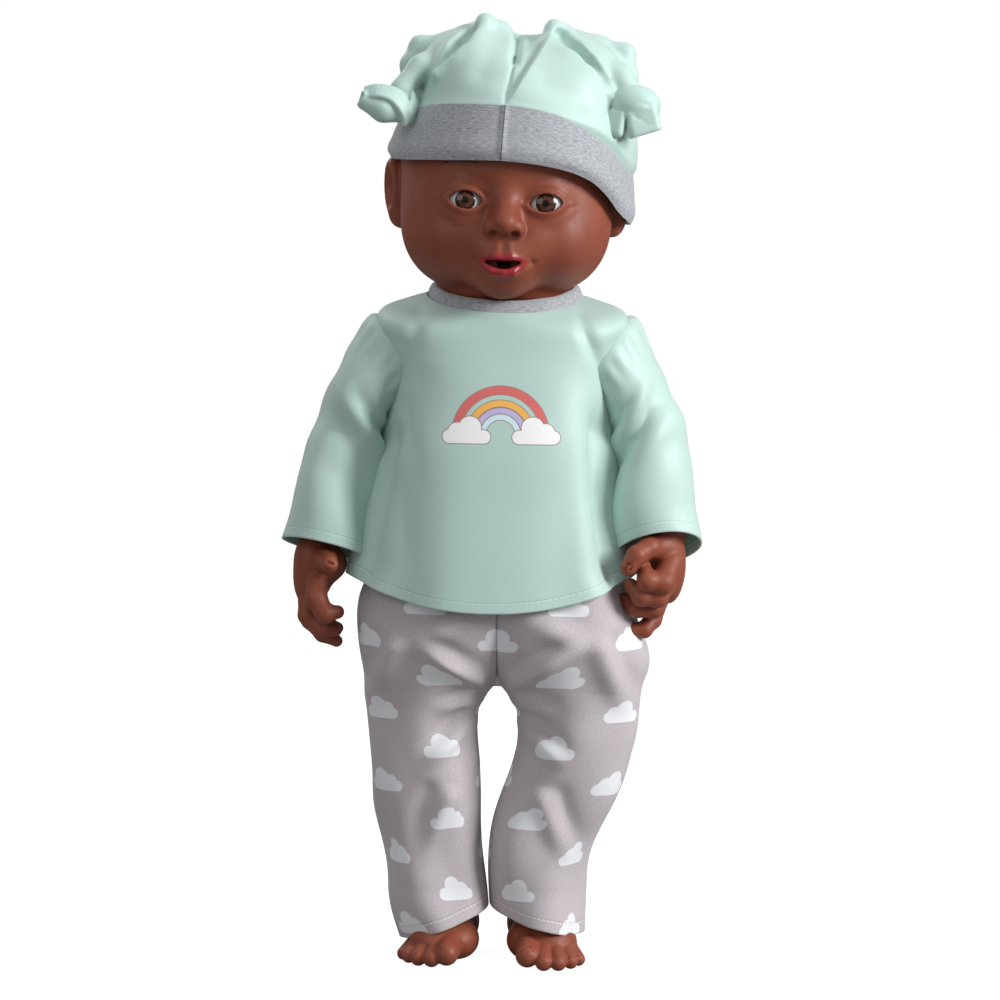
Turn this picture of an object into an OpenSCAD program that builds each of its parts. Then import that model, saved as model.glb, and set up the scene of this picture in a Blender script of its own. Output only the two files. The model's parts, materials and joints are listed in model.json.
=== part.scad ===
// Interactive baby doll, about 41 cm tall, in a knotted hat, a long-sleeved top and trousers.
// The doll stands on z = 0, faces -Y, and its left side is +X. All sizes are in millimetres.

/* [Head] */
// Radius of the skull's main ball
skull_r = 49; // [46:0.5:51]
// Height of the middle of the skull
skull_z = 361; // [358:1:364]
// Wall of the soft moulded skin parts
skin_wall = 2.6; // [2:0.1:3]
// Radius of an inset eye
eye_r = 9; // [8:0.5:10]
// Half the distance between the eyes
eye_x = 17.5; // [16:0.5:20]
// Height of the eyes
eye_z = 344.5; // [344:0.5:348]
// Radius of the socket in the mouth that takes a dummy's teat
teat_r = 3.2; // [2.5:0.1:3.5]
// Depth of that socket
teat_depth = 10; // [8:0.5:11]

/* [Torso] */
// Height of the shoulder joints
shoulder_z = 275; // [273:1:277]
// Distance of the shoulder mating faces from the middle
shoulder_x = 43.6; // [43:0.1:44]
// Height of the hip joints
hip_z = 145; // [144:0.5:146]
// Distance of the hip mating faces from the middle, on the hip axis
hip_x = 28; // [27:0.5:29]
// Tilt of the hip axes below level, in degrees
hip_tilt = 25; // [20:1:28]
// Wall of the hard torso shells
shell_wall = 2.4; // [2:0.1:2.8]

/* [Limbs] */
// Radius of a shoulder ball
arm_ball_r = 16; // [15:0.5:17]
// Radius of a thigh ball
thigh_ball_r = 20.5; // [19:0.5:21]
// Radius of a shoulder plug's shaft
arm_shaft_r = 7.5; // [6.5:0.5:7.5]
// Radius of a hip plug's shaft
leg_shaft_r = 9; // [8:0.5:10]
// Radius of the neck post
neck_r = 12; // [11:0.5:13]
// Radial clearance of the turning shafts
shaft_gap = 0.05; // [0.03:0.01:0.09]

/* [Clothes] */
// Thickness of the cloth
cloth = 1.6; // [1.2:0.1:2]
// Radius of a trouser leg at the thigh
trouser_r = 24; // [23.5:0.5:24.5]
// Radius of a trouser leg at its hem
trouser_hem_r = 19.5; // [18:0.5:20]
// Height of the top's hem at the front and back
hem_z = 163; // [161:0.5:164]

/* [Works] */
// Radius of an AA cell
cell_r = 7.25; // [7:0.05:7.3]
// Length of an AA cell
cell_h = 50.5; // [50:0.1:50.5]
// Radius of the speaker
speaker_r = 16; // [14:0.5:17]
// Travel of the tummy button
button_travel = 2.5; // [2:0.1:3]

/* [Hidden] */

skin = "#6e3e30";
mint = "#acd6ca";
heather = "#a5a8af";
mauve = "#b9b2b4";
hard_plastic = "#d9c7b8";
dark_plastic = "#34343a";
steel = "#b8bcc2";

smooth = 32;       // facets round a large hulled shape
small = 16;        // facets round a small hulled shape
turned = 64;       // facets round a turned shape, which comes out as a true curve
air = 0.3;         // gap between neighbouring pieces
big = 300;         // side of a block that cuts everything on one side of a plane
eps = 0.01;

left = 1;
right = -1;

// ---- shared shapes -------------------------------------------------------

// A ball of radius r at p.
module ball(p, r) {
  translate(p) sphere(r, $fn = r < 10.5 ? small : smooth);
}

// A thin oval slice, for lofting with hull().
module slice(z, rx, ry, y = 0) {
  translate([0, y, z]) scale([rx, ry, 1]) cylinder(r = 1, h = 0.2, $fn = 48);
}

// Turns +Z to lie along the vector v, at p.
module along(p, v) {
  level = sqrt(v.x * v.x + v.y * v.y);
  translate(p) rotate([0, atan2(level, v.z), atan2(v.y, v.x)]) children();
}

// An insulated lead of straight eight-sided runs, each a little longer than its span so that they join.
module lead(points, r) {
  for (i = [1 : len(points) - 1]) {
    run = points[i] - points[i - 1];
    lap = i < len(points) - 1 ? r * 0.6 : 0;
    along(points[i - 1], run) cylinder(r = r, h = norm(run) + lap, $fn = 8);
  }
}

// Puts children on the hip axis of one side: +Z points outwards along the axis.
module at_hip(side) {
  translate([side * hip_x, 0, hip_z]) rotate([0, side * (90 + hip_tilt), 0]) children();
}

// Puts children on the shoulder axis of one side: +Z points outwards along the axis.
module at_shoulder(side) {
  translate([side * shoulder_x, 0, shoulder_z]) rotate([0, side * 90, 0]) children();
}

// Everything inboard of a hip's mating face, less gap.
module inboard_of_hip(side, gap) {
  at_hip(side) translate([0, 0, -big / 2 - gap]) cube(big, center = true);
}

// ---- torso ---------------------------------------------------------------

chest_z = 245;
belly_z = 186;
neck_y = 2;
body_top = 295;

// The torso's outside, shrunk by t all round.
module torso_form(t) {
  hull() for (s = [left, right]) {
    ball([s * 25, 0, shoulder_z + 2], 17 - t);
    ball([s * 12, -2, chest_z], 30 - t);
    ball([s * 10, -4, belly_z], 34 - t);
    ball([s * 17, 0, hip_z + 3], 24 - t);
  }
}

shoulder_flat = 3;       // how far the flat on the torso's side lies inboard of the mating face
hip_flat = 2;            // the same at the hips
shoulder_boss = 7.6;     // depth of a shoulder's bearing, from the mating face
hip_boss = 5.4;          // depth of a hip's bearing
boss_r = 13;
hip_boss_r = 18;
plug_gap = 0.4;          // end float of a plug in its boss
face_gap = 0.2;          // half the gap between a limb and its boss
door_low = [-26, 0, 158];
door_size = [52, 60, 60];
works_z = 232;           // height of the speaker and of the power switch

// Everything outboard of both hips' and both shoulders' mating faces, less a depth at each.
module outboard(hip_depth, shoulder_depth) {
  for (s = [left, right]) {
    at_hip(s) translate([0, 0, big / 2 - hip_depth]) cube(big, center = true);
    at_shoulder(s) translate([0, 0, big / 2 - shoulder_depth]) cube(big, center = true);
  }
}

// A round hole through the torso's front or back, along Y.
module hole_y(x, y, z, r, h) {
  translate([x, y, z]) rotate([-90, 0, 0]) cylinder(r = r, h = h, $fn = r < 5 ? 24 : turned);
}

// The hollow torso with the bearings that its joints turn in.
module torso_shell() {
  difference() {
    union() {
      difference() {
        torso_form(0);
        difference() {
          torso_form(shell_wall);
          outboard(hip_boss, shoulder_boss);
        }
        outboard(hip_flat, shoulder_flat);
      }
      for (s = [left, right]) {
        at_hip(s) translate([0, 0, -hip_boss])
          cylinder(r = hip_boss_r, h = hip_boss - face_gap, $fn = turned);
        at_shoulder(s) translate([0, 0, -shoulder_boss])
          cylinder(r = boss_r, h = shoulder_boss - face_gap, $fn = turned);
      }
      translate([0, neck_y, body_top - 10]) cylinder(r = 17, h = 9, $fn = turned);
    }
    for (s = [left, right]) {
      at_hip(s) translate([0, 0, -20])
        cylinder(r = leg_shaft_r + shaft_gap, h = 30, $fn = turned);
      at_shoulder(s) translate([0, 0, -20])
        cylinder(r = arm_shaft_r + shaft_gap, h = 30, $fn = turned);
    }
    translate([0, neck_y, 270]) cylinder(r = 10.2, h = 30, $fn = turned);
    translate([0, neck_y, 270]) cylinder(r = 14.3, h = body_top - 270 - 9.8, $fn = turned);
    hole_y(0, -50, belly_z, button_r + air, 30);
    for (p = grille_points()) hole_y(p.x, -50, works_z + p.y, 1.1, 30);
    for (p = shell_screw_points) hole_y(p.x, 0, p.y, 1.7, 50);
    translate(door_low) cube(door_size);
    translate([-8, 10, works_z - 2.6]) cube([16, 40, 5.2]);
  }
}

button_r = 10;
shell_screw_points = [[-28, 262], [28, 262], [-31, 180], [31, 180]];

// The speaker grille's holes: one in the middle and a ring of eight.
function grille_points() = concat([[0, 0]], [for (a = [0 : 45 : 315]) 8 * [cos(a), sin(a)]]);

module torso_front_shell() {
  color(hard_plastic) intersection() {
    torso_shell();
    translate([-big / 2, -big - 0.1, 0]) cube([big, big, 2 * big]);
  }
}

module torso_back_shell() {
  color(hard_plastic) intersection() {
    torso_shell();
    translate([-big / 2, 0.1, 0]) cube([big, big, 2 * big]);
  }
}

module shell_screws() {
  color(steel) for (p = shell_screw_points) translate([p.x, 6, p.y]) rotate([-90, 0, 0]) {
    cylinder(r = 1.5, h = 12, $fn = 24);
    translate([0, 0, 12]) cylinder(r = 1.6, h = 2, $fn = 24);
  }
}

// The post that the head turns on, with a flange below and a cap above the neck ring.
module neck_post() {
  color(hard_plastic) translate([0, neck_y, 0]) difference() {
    union() {
      translate([0, 0, 280]) cylinder(r = 14, h = 4.8, $fn = turned);
      translate([0, 0, 284]) cylinder(r = 10, h = 11, $fn = turned);
      translate([0, 0, body_top - 0.7]) cylinder(r = 16, h = 3, $fn = turned);
      translate([0, 0, 297]) cylinder(r = neck_r, h = 19, $fn = turned);
      translate([0, 0, 315.7]) cylinder(r = 15, h = 2.5, $fn = turned);
    }
    translate([0, 0, 270]) cylinder(r = 5, h = 60, $fn = turned);
  }
}

// ---- works in the torso --------------------------------------------------

cell_y = 17;
cell_low = 164;
cell_pitch = 15;

module batteries() {
  color("#7a8a3a") for (i = [-1 : 1]) translate([i * cell_pitch, cell_y, cell_low]) {
    cylinder(r = cell_r, h = cell_h - 1, $fn = turned);
    translate([0, 0, cell_h - 1]) cylinder(r = 2.75, h = 1, $fn = 24);
  }
}

module battery_tray() {
  wide = 3 * cell_pitch + 3.4;
  color(dark_plastic) difference() {
    translate([-wide / 2, cell_y - cell_r - 2.2, cell_low - 3])
      cube([wide, 13, cell_h + 6.2]);
    translate([-wide / 2 + 1.4, cell_y - cell_r - 0.4, cell_low - 1.6])
      cube([wide - 2.8, 13, cell_h + 3.2]);
  }
}

module battery_contacts() {
  color("#c9a24a") for (i = [-1 : 1]) translate([i * cell_pitch, cell_y, 0]) {
    translate([-4, -4, cell_low - 1.4]) cube([8, 8, 1.2]);
    translate([-4, -4, cell_low + cell_h + 0.2]) cube([8, 8, 1.2]);
  }
}

module battery_door() {
  color(hard_plastic) difference() {
    intersection() {
      difference() {
        torso_form(0.2);
        torso_form(shell_wall);
      }
      translate(door_low + [0.4, 20, 0.4]) cube(door_size - [0.8, 0, 0.8]);
    }
    translate([0, 15, door_low.z + door_size.z - 3.5]) rotate([-90, 0, 0])
      cylinder(r = 1.5, h = 20, $fn = 24);
  }
}

module battery_door_screw() {
  color(steel) translate([0, 25, door_low.z + door_size.z - 3.5]) rotate([-90, 0, 0]) {
    cylinder(r = 1.3, h = 5, $fn = 24);
    translate([0, 0, 5]) cylinder(r = 1.3, h = 2, $fn = 24);
  }
}

board_y = 0;
board_t = 1.6;

module circuit_board() {
  color("#2f6b46") translate([-20, board_y, 204]) cube([40, board_t, 46]);
}

module sound_chip() {
  color("#1d1d20") translate([-6, board_y - 2.2, 222]) cube([12, 2, 12]);
}

module board_parts() {
  color("#8c7a55") {
    translate([-15, board_y - 0.2, 212]) rotate([90, 0, 0]) cylinder(r = 3, h = 6, $fn = 24);
    translate([13, board_y - 0.2, 212]) rotate([90, 0, 0]) cylinder(r = 2.5, h = 5, $fn = 24);
    for (i = [0 : 3]) translate([-16 + i * 9, board_y - 1.4, 242]) cube([4, 1.2, 2.5]);
  }
}

speaker_y = -24.5;

module on_speaker_axis(y) {
  translate([0, y, works_z]) rotate([-90, 0, 0]) children();
}

module speaker_frame() {
  color(steel) on_speaker_axis(speaker_y) difference() {
    union() {
      cylinder(r = speaker_r, h = 2, $fn = turned);
      translate([0, 0, 2]) cylinder(r1 = speaker_r - 1.5, r2 = 9, h = 5, $fn = turned);
    }
    translate([0, 0, -eps]) cylinder(r = speaker_r - 2, h = 1.4, $fn = turned);
    translate([0, 0, 1]) cylinder(r1 = speaker_r - 2.5, r2 = 7.5, h = 6.1, $fn = turned);
  }
}

module speaker_cone() {
  color("#2a2a2a") on_speaker_axis(speaker_y + 0.3) rotate_extrude($fn = turned)
    polygon([[0, 4], [5, 4], [speaker_r - 4.5, 0.4], [speaker_r - 2.4, 0.2],
      [speaker_r - 2.4, 0.9], [speaker_r - 4, 1.1], [6, 4.8], [0, 4.8]]);
}

module speaker_magnet() {
  color("#55585c") on_speaker_axis(speaker_y + 7.2) cylinder(r = 9, h = 5, $fn = turned);
}

module speaker_leads() {
  color("#b03030") for (s = [left, right])
    lead([[s * 11.5, speaker_y + 4.5, 240], [s * 13, -6, 244], [s * 13, board_y - 0.2, 246]], 0.6);
}

module battery_leads() {
  color("#303030") for (s = [left, right])
    lead([[s * 14, cell_y - 10.4, 212], [s * 14, 4, 215], [s * 14, board_y + board_t + 0.5, 219]], 0.6);
}

knob_y = 21;

module power_switch_case() {
  color(dark_plastic) difference() {
    translate([-10, knob_y - 8, works_z - 5]) cube([20, 8, 10]);
    translate([-8, knob_y - 6.5, works_z - 2.6]) cube([16, 10, 5.2]);
  }
}

module power_switch_knob() {
  color("#f0f0f0") {
    translate([-5.2, knob_y - 6, works_z - 2]) cube([6.4, 14, 4]);
  }
}

button_front = -38.4;

module tummy_button() {
  color("#e7a0a8") translate([0, button_front, belly_z]) rotate([-90, 0, 0]) {
    cylinder(r1 = button_r - 1.2, r2 = button_r, h = 1.2, $fn = turned);
    translate([0, 0, 1.2]) cylinder(r = button_r, h = 3.8, $fn = turned);
    translate([0, 0, 5]) cylinder(r = 2.5, h = 5, $fn = turned);
  }
}

module tummy_button_spring() {
  color(steel) translate([0, button_front + 5.1, belly_z]) rotate([-90, 0, 0]) difference() {
    cylinder(r = 4.6, h = 8.6, $fn = turned);
    translate([0, 0, -eps]) cylinder(r = 3.4, h = 9, $fn = turned);
  }
}

module tummy_switch() {
  color(dark_plastic) translate([0, button_front + 13.8, belly_z]) rotate([-90, 0, 0]) {
    translate([-8, -8, 0]) cube([16, 16, 1.6]);
    translate([0, 0, 1.6]) cylinder(r = 3, h = 3, $fn = turned);
  }
}

// ---- head ----------------------------------------------------------------

// The head's outside, shrunk by t all round.
module head_form(t) {
  hull() {
    ball([0, 2, skull_z], skull_r - t);
    ball([0, 12, skull_z], 46 - t);
    ball([0, -9, skull_z - 2], 45 - t);
    for (s = [left, right]) ball([s * 19, -18, 335], 29.5 - t);
    ball([0, -37, 317], 14 - t);
    ball([0, 10, 330], 25 - t);
  }
}

ring_r = 22;
ring_z = 304.6;
mouth_z = 317;
mouth_y = -46;

// Axis of one eye, which looks forwards and a little outwards.
module at_eye(side) {
  translate([side * eye_x, -37, eye_z]) rotate([90, 0, side * 12]) children();
}

module head_shell() {
  color(skin) difference() {
    union() {
      difference() {
        head_form(0);
        head_form(skin_wall);
      }
      ball([0, -54, 336], 5.5);
      for (s = [left, right]) intersection() {
        hull() {
          ball([s * 50, 9, 355], 4);
          ball([s * 49, 6, 340], 3.4);
        }
        translate([s * (big / 2 + 44), 0, 340]) cube(big, center = true);
      }
    }
    translate([0, neck_y, 280]) cylinder(r = ring_r + 0.2, h = 40, $fn = turned);
    for (s = [left, right]) at_eye(s) cylinder(r = eye_r + 0.2, h = 30, $fn = turned);
    translate([0, mouth_y + teat_depth, mouth_z]) rotate([90, 0, 0])
      cylinder(r = cup_r + 0.2, h = 30, $fn = turned);
  }
}

// The ring in the head's neck opening, which turns on the neck post.
module neck_ring() {
  color(hard_plastic) translate([0, neck_y, ring_z]) difference() {
    cylinder(r = ring_r, h = 5, $fn = turned);
    translate([0, 0, -eps]) cylinder(r = neck_r + shaft_gap, h = 6, $fn = turned);
  }
}

module eye(side) {
  color("#5a3a22") at_eye(side) intersection() {
    translate([0, 0, 2]) sphere(eye_r + 2.5, $fn = turned);
    cylinder(r = eye_r, h = 16, $fn = turned);
  }
}

module eye_left() { eye(left); }
module eye_right() { eye(right); }

cup_r = 7;

// The mouth's socket, open to the front, with a thin floor that the plunger passes through.
module mouth_cup() {
  color("#a0404c") translate([0, mouth_y + teat_depth, mouth_z]) rotate([90, 0, 0]) difference() {
    cylinder(r = cup_r, h = teat_depth, $fn = turned);
    translate([0, 0, -eps]) cylinder(r = teat_r, h = 20, $fn = turned);
  }
}

plunger_r = 2.6;

module mouth_plunger() {
  color("#f0f0f0") translate([0, mouth_y + teat_depth + 0.3, mouth_z]) rotate([-90, 0, 0])
    cylinder(r = plunger_r, h = 6, $fn = turned);
}

module mouth_switch() {
  color(dark_plastic) translate([0, mouth_y + teat_depth + 9, mouth_z]) rotate([-90, 0, 0])
    translate([-5, -5, 0]) cube([10, 10, 4]);
}

lead_top = 300;   // the head's leads meet the torso's here, on the neck's axis

module mouth_leads() {
  color("#303030") lead([[0, mouth_y + teat_depth + 13.4, mouth_z + 3], [0, neck_y, mouth_z + 3.2],
    [0, neck_y, lead_top + 0.1]], 0.8);
}

module neck_leads() {
  color("#303030") lead([[0, neck_y, lead_top - 0.1], [0, neck_y, 262], [0, board_y + 2.8, 256],
    [0, board_y + 2.8, 248]], 0.8);
}

// ---- arms ----------------------------------------------------------------

arm_ball_x = 13;     // ball's centre outboard of the mating face
wrist = [79, -8, 189];
palm = [79, -12, 171];

function arm_point(side, p) = [side * (p.x - (side > 0 ? 2.5 : 0)), p.y - (side > 0 ? 4 : 0), p.z];
function ball_point(side) = [side * (shoulder_x + arm_ball_x), 0, shoulder_z];

// A limb turned about the line from one point to another: outline gives [radius, distance].
module turned_limb(from, to, outline) {
  along(from, to - from) rotate_extrude($fn = turned) polygon(outline);
}

// Half-round end of radius r, as outline points from the axis to its side.
function round_end(r, steps = 8) = [
  for (i = [0 : steps]) r * [sin(90 * i / steps), -cos(90 * i / steps)]];

module arm(side) {
  from = ball_point(side);
  to = arm_point(side, wrist);
  long = norm(to - from);
  shape = [[arm_ball_r - 1, 0.35 * long], [13.5, 0.6 * long], [10.5, 0.88 * long], [10, long + 2]];
  color(skin) difference() {
    union() {
      difference() {
        turned_limb(from, to, concat(round_end(arm_ball_r), shape, [[0, long + 2]]));
        turned_limb(from, to, concat(round_end(arm_ball_r - skin_wall),
          [for (q = shape) [q.x - skin_wall, min(q.y, long - 1)]], [[0, long - 1]]));
      }
      hand(side);
    }
    at_shoulder(side) {
      translate([0, 0, 0.4 - big / 2]) cube(big, center = true);
      cylinder(r = arm_shaft_r + 0.2, h = 6, $fn = turned);
    }
  }
}

// A loosely closed hand: the palm, the curled fingers in front of it and the thumb.
module hand(side) {
  hull() {
    ball(arm_point(side, palm + [0, 2, 8]), 9.5);
    ball(arm_point(side, palm + [0, -2, -6]), 11.5);
  }
  hull() {
    ball(arm_point(side, palm + [4, -10, -12]), 7.5);
    ball(arm_point(side, palm + [-4, -12, -10]), 7);
  }
  hull() {
    ball(arm_point(side, palm + [-7, -10, 6]), 4.5);
    ball(arm_point(side, palm + [-6, -20, 6]), 4);
  }
}

module arm_left() { arm(left); }
module arm_right() { arm(right); }

// A plug that holds a limb: inner flange, shaft in the torso's bore, outer flange in the limb.
module plug(shaft_r, boss_depth) {
  translate([0, 0, -boss_depth - plug_gap - 2.4]) cylinder(r = shaft_r + 2, h = 2.4, $fn = turned);
  translate([0, 0, -boss_depth - plug_gap - eps]) cylinder(r = shaft_r, h = boss_depth + 5, $fn = turned);
  translate([0, 0, 4]) cylinder(r = shaft_r + 1.5, h = 2, $fn = turned);
}

module shoulder_plug(side) {
  color(dark_plastic) at_shoulder(side) plug(arm_shaft_r, shoulder_boss);
}

module shoulder_plug_left() { shoulder_plug(left); }
module shoulder_plug_right() { shoulder_plug(right); }

// ---- legs ----------------------------------------------------------------

leg_ball_out = 13.6;   // thigh ball's centre outboard of the mating face, on the hip axis
ankle = [22.5, 3, 24];

function thigh_point(side) = [
  side * (hip_x + leg_ball_out * cos(hip_tilt)), 0, hip_z - leg_ball_out * sin(hip_tilt)];
function ankle_point(side) = [side * ankle.x, ankle.y, ankle.z];

module leg(side) {
  from = thigh_point(side);
  to = ankle_point(side);
  long = norm(to - from);
  shape = [[thigh_ball_r - 0.8, 0.3 * long], [17, 0.55 * long], [14.5, 0.85 * long], [12.5, long]];
  color(skin) difference() {
    union() {
      difference() {
        turned_limb(from, to, concat(round_end(thigh_ball_r), shape, [[0, long]]));
        turned_limb(from, to, concat(round_end(thigh_ball_r - skin_wall),
          [for (q = shape) [q.x - skin_wall, min(q.y, long - 6)]], [[0, long - 6]]));
      }
      foot(side);
    }
    inboard_of_hip(side, -0.4);
    at_hip(side) cylinder(r = leg_shaft_r + 0.2, h = 6, $fn = turned);
    translate([0, 0, -50]) cube([big, big, 100], center = true);
  }
}

// A chubby foot with a flat sole, its toes turned a little outwards.
module foot(side) {
  translate([side * ankle.x, ankle.y, 0]) rotate([0, 0, side * 6]) hull() {
    ball([0, 9, 13], 13);
    ball([0, 0, 22], 12.5);
    ball([-side * 8, -32, 7.5], 9);
    ball([side * 9, -27, 6.5], 8);
  }
}

module leg_left() { leg(left); }
module leg_right() { leg(right); }

module hip_plug(side) {
  color(dark_plastic) at_hip(side) plug(leg_shaft_r, hip_boss);
}

module hip_plug_left() { hip_plug(left); }
module hip_plug_right() { hip_plug(right); }

// ---- hat -----------------------------------------------------------------

brim_low = 360;
brim_high = 384;
hat_y = 2.4;

// The hat's outside above the brim, shrunk by t all round.
module crown_form(t) {
  hull() {
    slice(brim_high + air - (t > 0 ? 1 : 0), 54.5 - t, 60 - t, hat_y);
    ball([0, hat_y, 380], 50 - t);
    for (s = [left, right]) ball([s * 24, 0, 412], 17.5 - t);
  }
}

module hat_crown() {
  color(mint) {
    difference() {
      crown_form(0);
      crown_form(cloth + 0.4);
      translate([0, 0, brim_high + air - big / 2]) cube(big, center = true);
    }
    for (s = [left, right]) difference() {
      hull() {
        ball([s * 34, -4, 411], 10);
        ball([s * 52, -10, 405], 6.5);
      }
      crown_form(-air);
    }
  }
}

// The turned-up jersey band.
module hat_brim() {
  color(heather) difference() {
    hull() {
      slice(brim_low, 56, 61.5, hat_y);
      slice(brim_high - 0.2, 55, 60.5, hat_y);
    }
    hull() {
      slice(brim_low - 0.2, 52.6, 58.4, hat_y);
      slice(brim_high + eps, 52, 57.6, hat_y);
    }
  }
}

module hat_knot(side) {
  color(mint) translate([side * 60, -14, 389]) hull() {
    ball([0, -6, 1], 8);
    ball([side, 5, 0], 8);
    ball([side * 2, -2, -7], 7);
  }
}

module hat_knot_left() { hat_knot(left); }
module hat_knot_right() { hat_knot(right); }

// ---- top -----------------------------------------------------------------

seam_x = 53;         // the sleeves start outboard of this
armhole_r = 19;      // opening round each shoulder joint
armhole_depth = 14;  // how far inboard of the mating face that opening reaches
hem_rise_r = 140;    // the hem curves up towards the sides on this radius

// The top's outside, shrunk by t all round.
module bodice_form(t) {
  hull() {
    slice(158 - (t > 0 ? 1 : 0), 56 - t, 46 - t, -2);
    slice(200, 50.6 - t, 43 - t, -2);
    slice(255, 44 - t, 37 - t, -1);
    slice(280, 41 - t, 28 - t, 0);
    slice(292 - t, 39 - t, 22 - t, 1);
    slice(299.5 + (t > 0 ? 1 : 0), 32 - t, 29 - t, neck_y);
  }
}

module top_bodice() {
  color(mint) difference() {
    intersection() {
      bodice_form(0);
      translate([0, 0, hem_z + hem_rise_r]) rotate([90, 0, 0])
        cylinder(r = hem_rise_r, h = big, center = true, $fn = turned);
    }
    bodice_form(cloth);
    for (s = [left, right]) at_shoulder(s) translate([0, 0, -armhole_depth])
      cylinder(r = armhole_r, h = armhole_depth + 5, $fn = turned);
  }
}

// The jersey ring round the neck opening.
module top_neckband() {
  color(heather) translate([0, neck_y, 298.6]) difference() {
    cylinder(r = 27, h = 3.6, $fn = turned);
    translate([0, 0, -eps]) cylinder(r = 24.4, h = 4, $fn = turned);
  }
}

// The two halves of the hook-and-loop strip down the back opening.
module top_back_fastener() {
  color("#e8f2ee") translate([0, 39.2, 226]) rotate([5.2, 0, 0]) {
    translate([-7, 0, -30]) cube([14, 1, 60]);
    translate([-7, 1.1, -30]) cube([14, 1, 60]);
  }
}

sleeve_r = 18.6;

module sleeve(side) {
  from = ball_point(side) + [side * 1.5, 0, 0];
  to = arm_point(side, wrist);
  long = norm(to - from);
  shape = [[18.6, 0.35 * long], [17.6, 0.6 * long], [17.6, 0.96 * long]];
  inner = [for (q = shape) [q.x - cloth, q.y + 0.04 * long]];
  color(mint) difference() {
    turned_limb(from, to, concat(round_end(sleeve_r), shape, [[0, 0.96 * long]]));
    turned_limb(from, to, concat(round_end(sleeve_r - cloth), inner, [[0, long]]));
    translate([side * (seam_x + 0.8 - big / 2), 0, 200]) cube([big, big, 2 * big], center = true);
  }
}

module sleeve_left() { sleeve(left); }
module sleeve_right() { sleeve(right); }

// ---- trousers ------------------------------------------------------------

waist_z = 190;

module seat_form(t) {
  hull() {
    slice(waist_z + (t > 0 ? 1 : 0), 47 - t, 40.5 - t, -3);
    slice(150, 52 - t, 35 - t, -1);
    slice(121 + t, 22, 17 - t, 0);
  }
}

module trouser_seat() {
  color(mauve) difference() {
    seat_form(0);
    hull() {
      torso_form(-0.3);
      seat_form(cloth);
    }
    for (s = [left, right]) at_hip(s) translate([0, 0, big / 2 - 0.2]) cube(big, center = true);
  }
}

module trouser_waistband() {
  color(mauve) translate([0, -3, waist_z + 0.5]) linear_extrude(7.7) difference() {
    scale([48, 40.2]) circle(1, $fn = 48);
    scale([46.5, 38.6]) circle(1, $fn = 48);
  }
}

module trouser_leg(side) {
  from = thigh_point(side);
  to = ankle_point(side);
  long = norm(to - from);
  shape = [[trouser_r, 0.05 * long], [trouser_r - 0.6, 0.45 * long], [trouser_hem_r, 0.97 * long]];
  inner = [for (q = shape) [q.x - cloth, q.y + 0.04 * long]];
  color(mauve) difference() {
    turned_limb(from, to, concat(round_end(trouser_r), shape, [[0, 0.97 * long]]));
    turned_limb(from, to, concat(round_end(trouser_r - cloth), inner, [[0, 1.1 * long]]));
    inboard_of_hip(side, -0.4);
  }
}

module trouser_leg_left() { trouser_leg(left); }
module trouser_leg_right() { trouser_leg(right); }

// ---- nodes ---------------------------------------------------------------

torso_front_shell();
torso_back_shell();
shell_screws();
neck_post();
battery_tray();
battery_door();
battery_door_screw();
batteries();
battery_contacts();
circuit_board();
sound_chip();
board_parts();
speaker_frame();
speaker_cone();
speaker_magnet();
speaker_leads();
battery_leads();
power_switch_case();
power_switch_knob();
tummy_button();
tummy_button_spring();
tummy_switch();
head_shell();
neck_ring();
eye_left();
eye_right();
mouth_cup();
mouth_plunger();
mouth_switch();
mouth_leads();
neck_leads();
arm_left();
arm_right();
shoulder_plug_left();
shoulder_plug_right();
leg_left();
leg_right();
hip_plug_left();
hip_plug_right();
hat_crown();
hat_brim();
hat_knot_left();
hat_knot_right();
top_bodice();
top_neckband();
top_back_fastener();
sleeve_left();
sleeve_right();
trouser_seat();
trouser_waistband();
trouser_leg_left();
trouser_leg_right();
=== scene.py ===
"""Looks of the interactive baby doll: vinyl skin, glassy eyes, knotted hat, top and trousers.

Lengths inside the shape functions are in millimetres, in the frame's axes: +Z up, the doll faces -Y and
its left side is +X. Meshes are scaled to metres as they are made.
"""

import json
import math
from functools import partial

import bpy
import numpy as np
from mathutils import Matrix, Vector


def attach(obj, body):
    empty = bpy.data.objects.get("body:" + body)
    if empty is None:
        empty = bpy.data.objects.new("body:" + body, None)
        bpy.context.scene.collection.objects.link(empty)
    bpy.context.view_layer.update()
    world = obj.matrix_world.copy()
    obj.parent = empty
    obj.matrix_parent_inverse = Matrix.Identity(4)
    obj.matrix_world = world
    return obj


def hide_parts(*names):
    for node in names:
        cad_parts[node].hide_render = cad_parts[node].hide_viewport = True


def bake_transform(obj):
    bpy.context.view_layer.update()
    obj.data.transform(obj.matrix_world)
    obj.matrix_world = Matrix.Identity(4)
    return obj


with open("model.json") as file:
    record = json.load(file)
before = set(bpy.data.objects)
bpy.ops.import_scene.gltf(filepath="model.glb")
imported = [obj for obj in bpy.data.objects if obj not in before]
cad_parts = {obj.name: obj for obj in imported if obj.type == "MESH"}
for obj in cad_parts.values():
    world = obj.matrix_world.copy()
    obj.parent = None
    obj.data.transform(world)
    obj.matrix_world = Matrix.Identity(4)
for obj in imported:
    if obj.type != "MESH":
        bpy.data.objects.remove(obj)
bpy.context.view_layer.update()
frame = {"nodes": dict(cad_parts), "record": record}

MM = 0.001
LEFT, RIGHT = 1, -1
SIDES = ((LEFT, "left"), (RIGHT, "right"))
HEAD_PIVOT = np.array((0.0, 2.0, 305.0))    # the middle of the neck
HEAD_ROLL = math.radians(1.6)      # the head leans to the doll's left
HEAD_YAW = math.radians(0.9)       # and the face turns to its right
STEP = 0.85                        # size of the cells that skin and the crown are meshed in


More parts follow.
